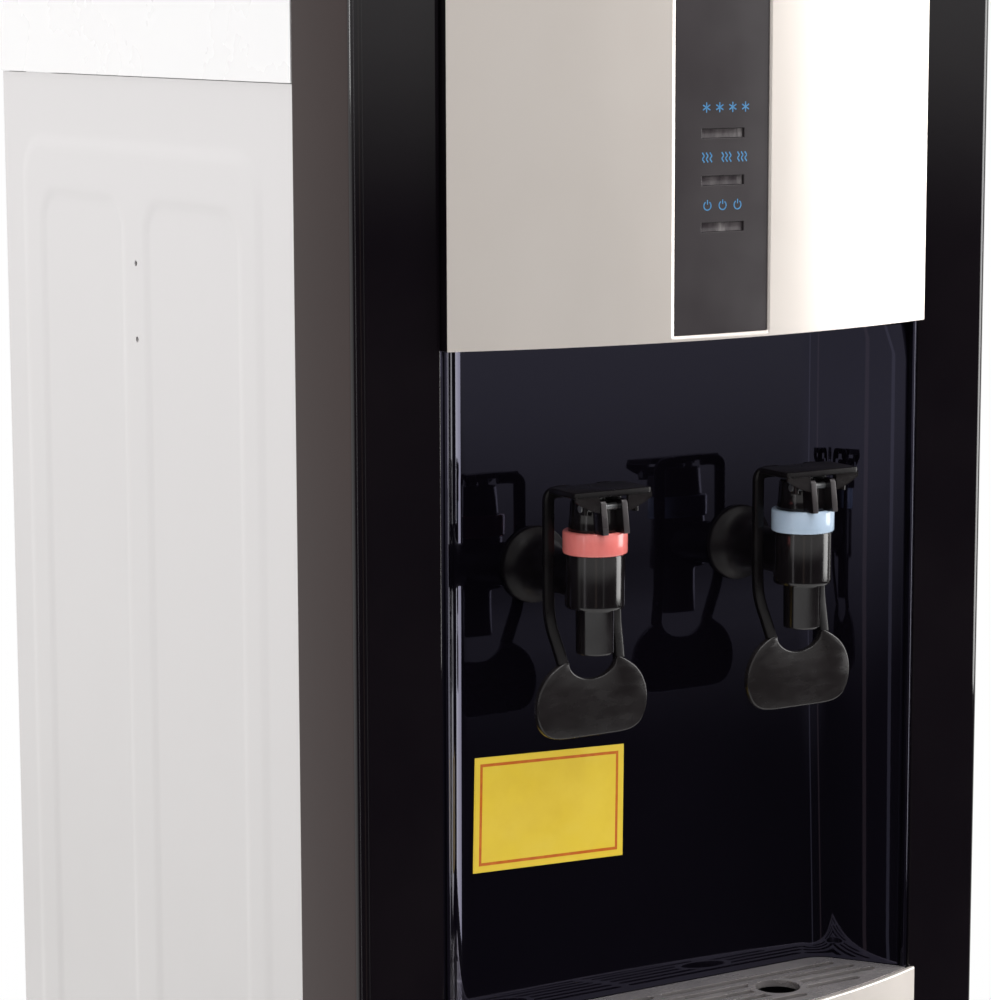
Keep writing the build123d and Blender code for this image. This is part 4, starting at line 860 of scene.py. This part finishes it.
def grille():
    """Flat plate with two cup holes and long slots that stop at the rims of the holes."""
    outer = tray_outline(0.15)
    edge = tray_outline(5.6)
    bow = [(x, v) for x, v in tray_outline(3.0) if v < -10]
    hole, clear = 9.7, 12.6         # radii of a cup hole and of the rim round it
    half, bridge = 2.0, 2.0         # half a slot's width, and where slots start beside the middle
    front_slot, deepest, far = -14.5, -18.5, 52.0       # the slot behind the bow
    holes = []
    for side in (-1, 1):
        for y in (21.5, 13.9, 6.3, -1.3, -8.9):
            reach = min(abs(crossings(edge, y + d)[0]) for d in (-half, half))
            spans = [(bridge, reach)]
            if abs(y - CUP_Y) < clear - 1.0:
                spans = [(bridge, None), (None, reach)]
            for a, b in spans:
                points = []
                for turn, value, sign in ((1, b, -1), (0, a, 1)):
                    if value is None:
                        line = [(TAP_X + sign * math.sqrt(max(clear ** 2 - (v - CUP_Y) ** 2, 0.01)), v)
                                for v in steps(y - half, y + half, 6)]
                    else:
                        line = [(value + sign * half * (1 - math.cos(t)), y + half * math.sin(t))
                                for t in steps(-math.pi / 2, math.pi / 2, 8)]
                    points += line if turn else line[::-1]
                holes.append([(side * x, v) for x, v in points][::side])
        low = [(x, max(min(bow, key=lambda q: abs(q[0] - x))[1], deepest))
               for x in steps(bridge, far, 12)]
        points = [q for q in low if q[1] < front_slot - 0.4]
        points += [(points[-1][0], front_slot), (bridge, front_slot)]
        holes.append([(side * x, v) for x, v in points][::side])
    for side in (-1, 1):
        holes.append([(side * TAP_X + hole * math.cos(a), CUP_Y + hole * math.sin(a))
                      for a in steps(0.0, 2 * math.pi, 40)[:-1]])
    outlines = [outer] + holes
    flat = [point for loop in outlines for point in loop]
    triangles = tessellate_polygon([[Vector((x, y, 0.0)) for x, y in loop] for loop in outlines])
    count = len(flat)
    verts = [(x, y, z) for z in (GRILLE, TRAY + 0.02) for x, y in flat]
    faces = [list(t) for t in triangles] + [[i + count for i in reversed(t)] for t in triangles]
    start = 0
    for loop in outlines:
        for i in range(len(loop)):
            a, b = start + i, start + (i + 1) % len(loop)
            faces.append([a, b, b + count, a + count])
        start += len(loop)
    piece("grille_bars", verts, faces, "grille", "grille", "grille_metal",
          ["drip_grille"], bevel=0.5, sharp=40)


grille()


# ---- taps
def tap(name, x, ring_finish):
    """Body with its inlet, coloured ring and bonnet with two ears, and then the lever."""
    y = TAP_Y
    # Heights, from the fascia's lower edge down to the spout and up to the lever.
    ring_top = ROOF - 74.1
    ring_low = ring_top - 9.3
    barrel_low = ring_low - 21.9
    spout_low = barrel_low - 18.6
    inlet_z = ring_low - 11.0
    bonnet_top = ring_top + 12.5
    plate_low = bonnet_top + 2.5
    barrel = [(5.0, 812.0), (5.0, spout_low + 0.5), (5.4, spout_low), (7.1, spout_low),
              (7.4, spout_low + 0.25), (7.6, spout_low + 0.8), (7.75, barrel_low - 1.2),
              (8.1, barrel_low - 0.3), (10.8, barrel_low), (11.5, barrel_low + 0.2),
              (11.9, barrel_low + 0.8), (12.0, barrel_low + 1.8), (12.0, ring_low - 0.8),
              (11.8, ring_low - 0.2), (10.8, ring_low), (10.8, ring_top - 0.3), (5.0, ring_top - 0.3)]
    inlet = [(9.0, 0.0), (9.0, 30.0), (9.3, 34.0), (10.0, 37.4), (11.4, 40.0), (13.5, 41.8),
             (15.2, 42.9), (15.8, 43.4), (16.0, 44.0), (15.9, 45.6), (8.0, 45.68), (8.0, 66.0),
             (7.6, 67.4), (4.0, 67.5), (4.0, 60.0)]
    upright = turned(barrel, (x, y, 0))
    verts, faces = joined(upright, turned(inlet, (x, y, inlet_z), "y"))
    flags = [int(n >= len(upright[1])) for n in range(len(faces))]
    piece(name + "_body", verts, faces, "tap_black", "cabinet", "black_gloss",
          [name + "_tap_body"], sharp=38, second="tap_satin", flags=flags)
    ring = [(10.9, ring_low + 0.1), (12.4, ring_low + 0.1), (12.8, ring_low + 0.3),
            (13.0, ring_low + 0.8), (13.0, ring_top - 0.8), (12.8, ring_top - 0.25),
            (12.4, ring_top), (10.9, ring_top), (10.9, ring_low + 0.1)]
    piece(name + "_ring", *turned(ring, (x, y, 0), count=96), ring_finish, "cabinet", ring_finish,
          [name + "_tap_ring"], sharp=60)
    bonnet = [(8.6, ring_low + 2), (8.6, ring_top - 0.2), (10.6, ring_top), (10.8, ring_top + 0.3),
              (10.4, ring_top + 4.0), (9.9, bonnet_top - 1.2), (9.4, bonnet_top - 0.3),
              (8.7, bonnet_top), (3.1, bonnet_top), (3.1, bonnet_top - 5)]
    ears = []
    for offset in (-4.95, 4.95):
        section = rounded_section(2.6, 1.0, 0.45)
        loops = []
        for z, front in ((ring_top + 0.1, 15.4), (ring_top + 0.6, 15.7), (plate_low - 3.0, 13.9),
                         (plate_low - 2.0, 13.5), (plate_low - 1.6, 12.9)):
            loops.append([(x + offset + u, y - front + (0.5 + v if v < 0 else front - 2.0 + v), z)
                          for u, v in section])
        ears.append(rings(loops, cap_first=True, cap_last=True))
    verts, faces = joined(turned(bonnet, (x, y, 0)), *ears)
    flags = [int(all(verts[i][1] < y - 12.4 for i in face)) for face in faces]
    piece(name + "_bonnet", verts, faces, "tap_black", "cabinet", "black_plastic",
          [name + "_tap_bonnet"], sharp=40, second="tap_grey", flags=flags)
    lever(name, x, y, plate_low)


def paddle_outline(x, top):
    """Outline of the paddle: a round notch between two peaks, full sides and a flat bottom."""
    low = top - 31.0
    keys = [(13.6, top + 0.1), (17.6, top - 2.0), (22.0, top - 5.4), (25.3, top - 10.6),
            (26.6, top - 16.6), (26.0, top - 22.6), (23.4, top - 27.8), (19.0, top - 30.4),
            (13.0, low), (6.0, low), (0.0, low)]
    notch = [(11.5 * math.sin(a), top + 0.7 - 8.2 * math.cos(a))
             for a in steps(0.0, math.pi / 2 * 0.98, 9)]
    half = notch + keys
    left = [(-px, pz) for px, pz in reversed(half[1:-1])]
    return [(x + p.x, p.y) for p in cut_corners(half + left, 2, True)]


def lever(name, x, y, plate_low):
    """Top plate, skirt wings, cheeks, two arms and the notched paddle."""
    top = plate_low + 2.5
    front = y - 13.8
    paddle_top = 794.3
    parts = []
    plan = [(x + u, y - 3.4 + v) for u, v in rounded_section(36.0, 20.8, 1.6)]
    loops = []
    for inset, z in ((0.5, plate_low), (0.0, plate_low + 0.4), (0.0, top - 0.5), (0.15, top - 0.15),
                     (0.55, top)):
        scale_x, scale_y = 1 - inset / 18.0, 1 - inset / 10.4
        loops.append([(x + (px - x) * scale_x, y - 3.4 + (py - y + 3.4) * scale_y, z)
                      for px, py in plan])
    dark = [rings(loops, cap_first=True, cap_last=True)]
    radius = (18.0 ** 2 + 5.8 ** 2) / 11.6
    for side in (-1, 1):
        reach = steps(6.6, 17.9, 12)
        edge = [(u, -6.9 + radius - math.sqrt(radius ** 2 - u ** 2)) for u in reach]
        outline = [(u, v) for u, v in edge] + [(17.9, 0.9), (6.6, 0.9)]
        middle = (sum(u for u, v in outline) / len(outline), sum(v for u, v in outline) / len(outline))
        skirt_loops = []
        for depth, scale in ((0.25, 0.95), (0.0, 0.98), (0.15, 1.0), (1.4, 1.0)):
            skirt_loops.append([(x + side * (middle[0] + (u - middle[0]) * scale),
                                 front + 0.02 + depth, plate_low + middle[1] + (v - middle[1]) * scale)
                                for u, v in outline])
        parts.append(rings(skirt_loops, cap_first=True, cap_last=True))
        inner = x + side * 11.9
        parts.append(rings([[(inner + u, y - 9.3 + v, z) for u, v in rounded_section(2.0, 5.6, 0.8)]
                            for z in (plate_low - 6.9, plate_low + 0.5)],
                           cap_first=True, cap_last=True))
        edge_x = x + side * 16.0
        path = cut_corners([(x + side * 7.0, y + 8.0, top - 2.4), (x + side * 12.0, y + 9.0, top - 2.4),
                            (edge_x, y + 9.4, top - 3.4), (edge_x, y + 9.4, top - 9.0),
                            (edge_x, y + 9.5, top - 26.0), (edge_x, y + 9.4, top - 48.0),
                            (edge_x - side * 0.5, y + 8.6, top - 56.0),
                            (edge_x - side * 1.8, y + 5.0, top - 65.0),
                            (edge_x - side * 2.6, y + 2.9, top - 71.0)], 3, False)
        dark.append(bar(rounded_section(3.4, 4.8, 1.3), path))
    outline = paddle_outline(x, paddle_top)
    count = len(outline)
    loops = []
    for inset, depth in ((0.3, 3.15), (0.05, 2.8), (0.0, 2.3), (0.0, 0.9), (0.12, 0.45),
                         (0.4, 0.12), (0.8, 0.0)):
        loop = []
        for i, (px, pz) in enumerate(outline):
            ax, az = outline[i - 1]
            bx, bz = outline[(i + 1) % count]
            dx, dz = bx - ax, bz - az
            length = math.hypot(dx, dz) or 1.0
            near = min(math.hypot(abs(px - x) - 12.4, pz - paddle_top - 0.6) / 4.0 + 0.05, 1.0)
            loop.append((px + dz / length * inset * near, y + 1.0 + depth,
                         pz - dx / length * inset * near))
        loops.append(loop)
    parts.append(rings(loops, cap_first=True, cap_last=True))
    verts, faces = joined(*parts, *dark)
    # The top plate and arms take the darker copy of the lever's plastic, which is painted shade.
    pale = sum(len(more) for _, more in parts)
    flags = [int(n >= pale) for n in range(len(faces))]
    piece(name + "_lever_arm", verts, faces, "lever_black", name + "_lever", "black_gloss",
          [name + "_tap_lever"], sharp=44, second="lever_painted_shade", flags=flags)


tap("hot", -TAP_X, "red_ring")
tap("cold", TAP_X, "blue_ring")


# ---- door
def door_skin():
    """Bowed silver front of the door."""
    half = RECESS_HALF
    front = arc_front(half, BOW_EDGE, BOW_RISE)
    xs = steps(-half, half, 64)
    zs = steps(42.8, 590.2, 6)

    def place(x, z, skin):
        return (x, front(x) if skin == 0 else -0.1, z)

    verts, faces = plate(xs, zs, lambda i, k: True, place)
    piece("door_bow", verts, faces, "silver", "door", "silver_finish", ["door_skin"],
          bevel=1.2, segments=4)


door_skin()


# ---- stage, light and camera
def floor():
    """Pale disc that shines like the background towards its rim."""
    count = 96
    loops = [[(radius * math.cos(2 * math.pi * i / count), radius * math.sin(2 * math.pi * i / count),
               0.0) for i in range(count)] for radius in (0.0001, 0.5, 1.0, 1.3, 1.6)]
    verts, faces = rings(loops)
    mesh = bpy.data.meshes.new("studio_floor")
    mesh.from_pydata(verts, [], faces)
    ground = bpy.data.objects.new("studio_floor", mesh)
    bpy.context.scene.collection.objects.link(ground)
    surface = Finish((232, 232, 231), 0.7).patches((226, 226, 225), 3).bump(300, 0.05)
    length = surface.new("VectorMath")
    length.operation = "LENGTH"
    surface.link(surface.coords.outputs["Object"], length.inputs[0])
    white = surface.new("Emission")
    white.inputs["Strength"].default_value = 1.0
    mix = surface.new("MixShader")
    surface.link(surface.spread(length.outputs["Value"], 0.9, 1.58), mix.inputs[0])
    surface.link(surface.shader.outputs[0], mix.inputs[1])
    surface.link(white.outputs[0], mix.inputs[2])
    surface.link(mix.outputs[0], surface.tree.nodes["Material Output"].inputs["Surface"])
    mesh.materials.append(surface.named("pale_floor"))


floor()


def world():
    """White to the camera; to the object a bright wall behind it and a dim room in front of it."""
    sky = bpy.data.worlds.new("studio")
    bpy.context.scene.world = sky
    sky.use_nodes = True
    tree = sky.node_tree
    tree.nodes.clear()
    link = tree.links.new

    def new(kind):
        return tree.nodes.new("ShaderNode" + kind)

    def ranged(value, low, high, a, b):
        node = new("MapRange")
        node.interpolation_type = "SMOOTHSTEP"
        for key, number in (("From Min", low), ("From Max", high), ("To Min", a), ("To Max", b)):
            node.inputs[key].default_value = number
        link(value, node.inputs["Value"])
        return node.outputs["Result"]

    split = new("SeparateXYZ")
    link(new("TexCoord").outputs["Generated"], split.inputs[0])
    up = ranged(split.outputs["Z"], -0.08, 0.02, 0.03, 0.72)
    behind = ranged(split.outputs["Y"], -0.05, 0.35, 0.0, 1.0)
    glow = new("Mix")
    link(behind, glow.inputs[0])
    link(up, glow.inputs[2])
    glow.inputs[3].default_value = 1.05
    room = new("Background")
    room.inputs["Color"].default_value = (1.0, 0.985, 0.97, 1.0)
    link(glow.outputs[0], room.inputs["Strength"])
    white = new("Background")
    white.inputs["Color"].default_value = (1.0, 1.0, 1.0, 1.0)
    mix = new("MixShader")
    link(new("LightPath").outputs["Is Camera Ray"], mix.inputs[0])
    link(room.outputs[0], mix.inputs[1])
    link(white.outputs[0], mix.inputs[2])
    link(mix.outputs[0], new("OutputWorld").inputs["Surface"])


world()


def softbox(name, place, target, width, height, power, colour=(1, 1, 1)):
    """A rectangular lamp that faces a point; metres and watts."""
    light = bpy.data.lights.new(name, "AREA")
    light.shape = "RECTANGLE"
    light.size = width
    light.size_y = height
    light.energy = power
    light.color = colour
    lamp = bpy.data.objects.new(name, light)
    lamp.location = place
    aim = Vector(target) - Vector(place)
    lamp.rotation_euler = aim.to_track_quat("-Z", "Y").to_euler()
    bpy.context.scene.collection.objects.link(lamp)


def band(name, x, y, width, glow, colour=(1, 1, 1)):
    """A thin upright light that only shows as a reflection; glow is its brightness."""
    softbox(name, (x, y, 0.85), (0, -0.15, 0.85), width, 2.3, glow * math.pi * width * 2.3, colour)


softbox("key_right", (2.4, -1.1, 1.25), (0, -0.15, 0.85), 1.2, 2.1, 45, (1.0, 0.99, 0.98))
softbox("strip_left", (-2.3, 0.55, 1.7), (0, 0.0, 0.9), 0.4, 1.6, 15)
softbox("top_box", (0.1, -0.7, 2.7), (0, -0.1, 0.7), 1.8, 1.4, 34)
# The first five show as upright streaks on the recess's right wall.
band("band_wide", -2.2, -0.844, 0.09, 1.3, (0.95, 0.88, 1.0))
band("band_core", -2.2, -0.85, 0.03, 1.4)
band("band_thin", -2.2, -0.77, 0.035, 0.8, (0.9, 1.0, 0.92))
band("band_edge", -2.2, -0.93, 0.03, 0.9)
band("band_corner", -2.2, -0.69, 0.05, 0.5, (1.0, 0.92, 0.85))
band("band_front", -0.05, -2.7, 0.16, 0.5)
band("band_warm", -1.3, -2.4, 0.2, 0.35, (1.0, 0.75, 0.62))


def camera():
    """The camera that was fitted to the photograph, set by its turn, its dip and a slight roll."""
    data = bpy.data.cameras.new("camera")
    data.lens = 119.66
    data.sensor_width = 36.0
    data.sensor_fit = "AUTO"
    data.clip_end = 60.0
    view = bpy.data.objects.new("camera", data)
    yaw, pitch, roll = 0.5556, 0.1515, -0.0028
    forward = Vector((math.sin(yaw) * math.cos(pitch), math.cos(yaw) * math.cos(pitch),
                      -math.sin(pitch)))
    level = Vector((math.cos(yaw), -math.sin(yaw), 0.0))
    upright = level.cross(forward)
    right = level * math.cos(roll) + upright * math.sin(roll)
    up = -level * math.sin(roll) + upright * math.cos(roll)
    matrix = view.matrix_world.copy()
    for row in range(3):
        matrix[row][0], matrix[row][1], matrix[row][2] = right[row], up[row], -forward[row]
    view.matrix_world = matrix
    view.location = (-0.77132, -1.25573, 1.05783)
    bpy.context.scene.collection.objects.link(view)
    bpy.context.scene.camera = view


camera()
bpy.context.scene.view_settings.view_transform = "Standard"
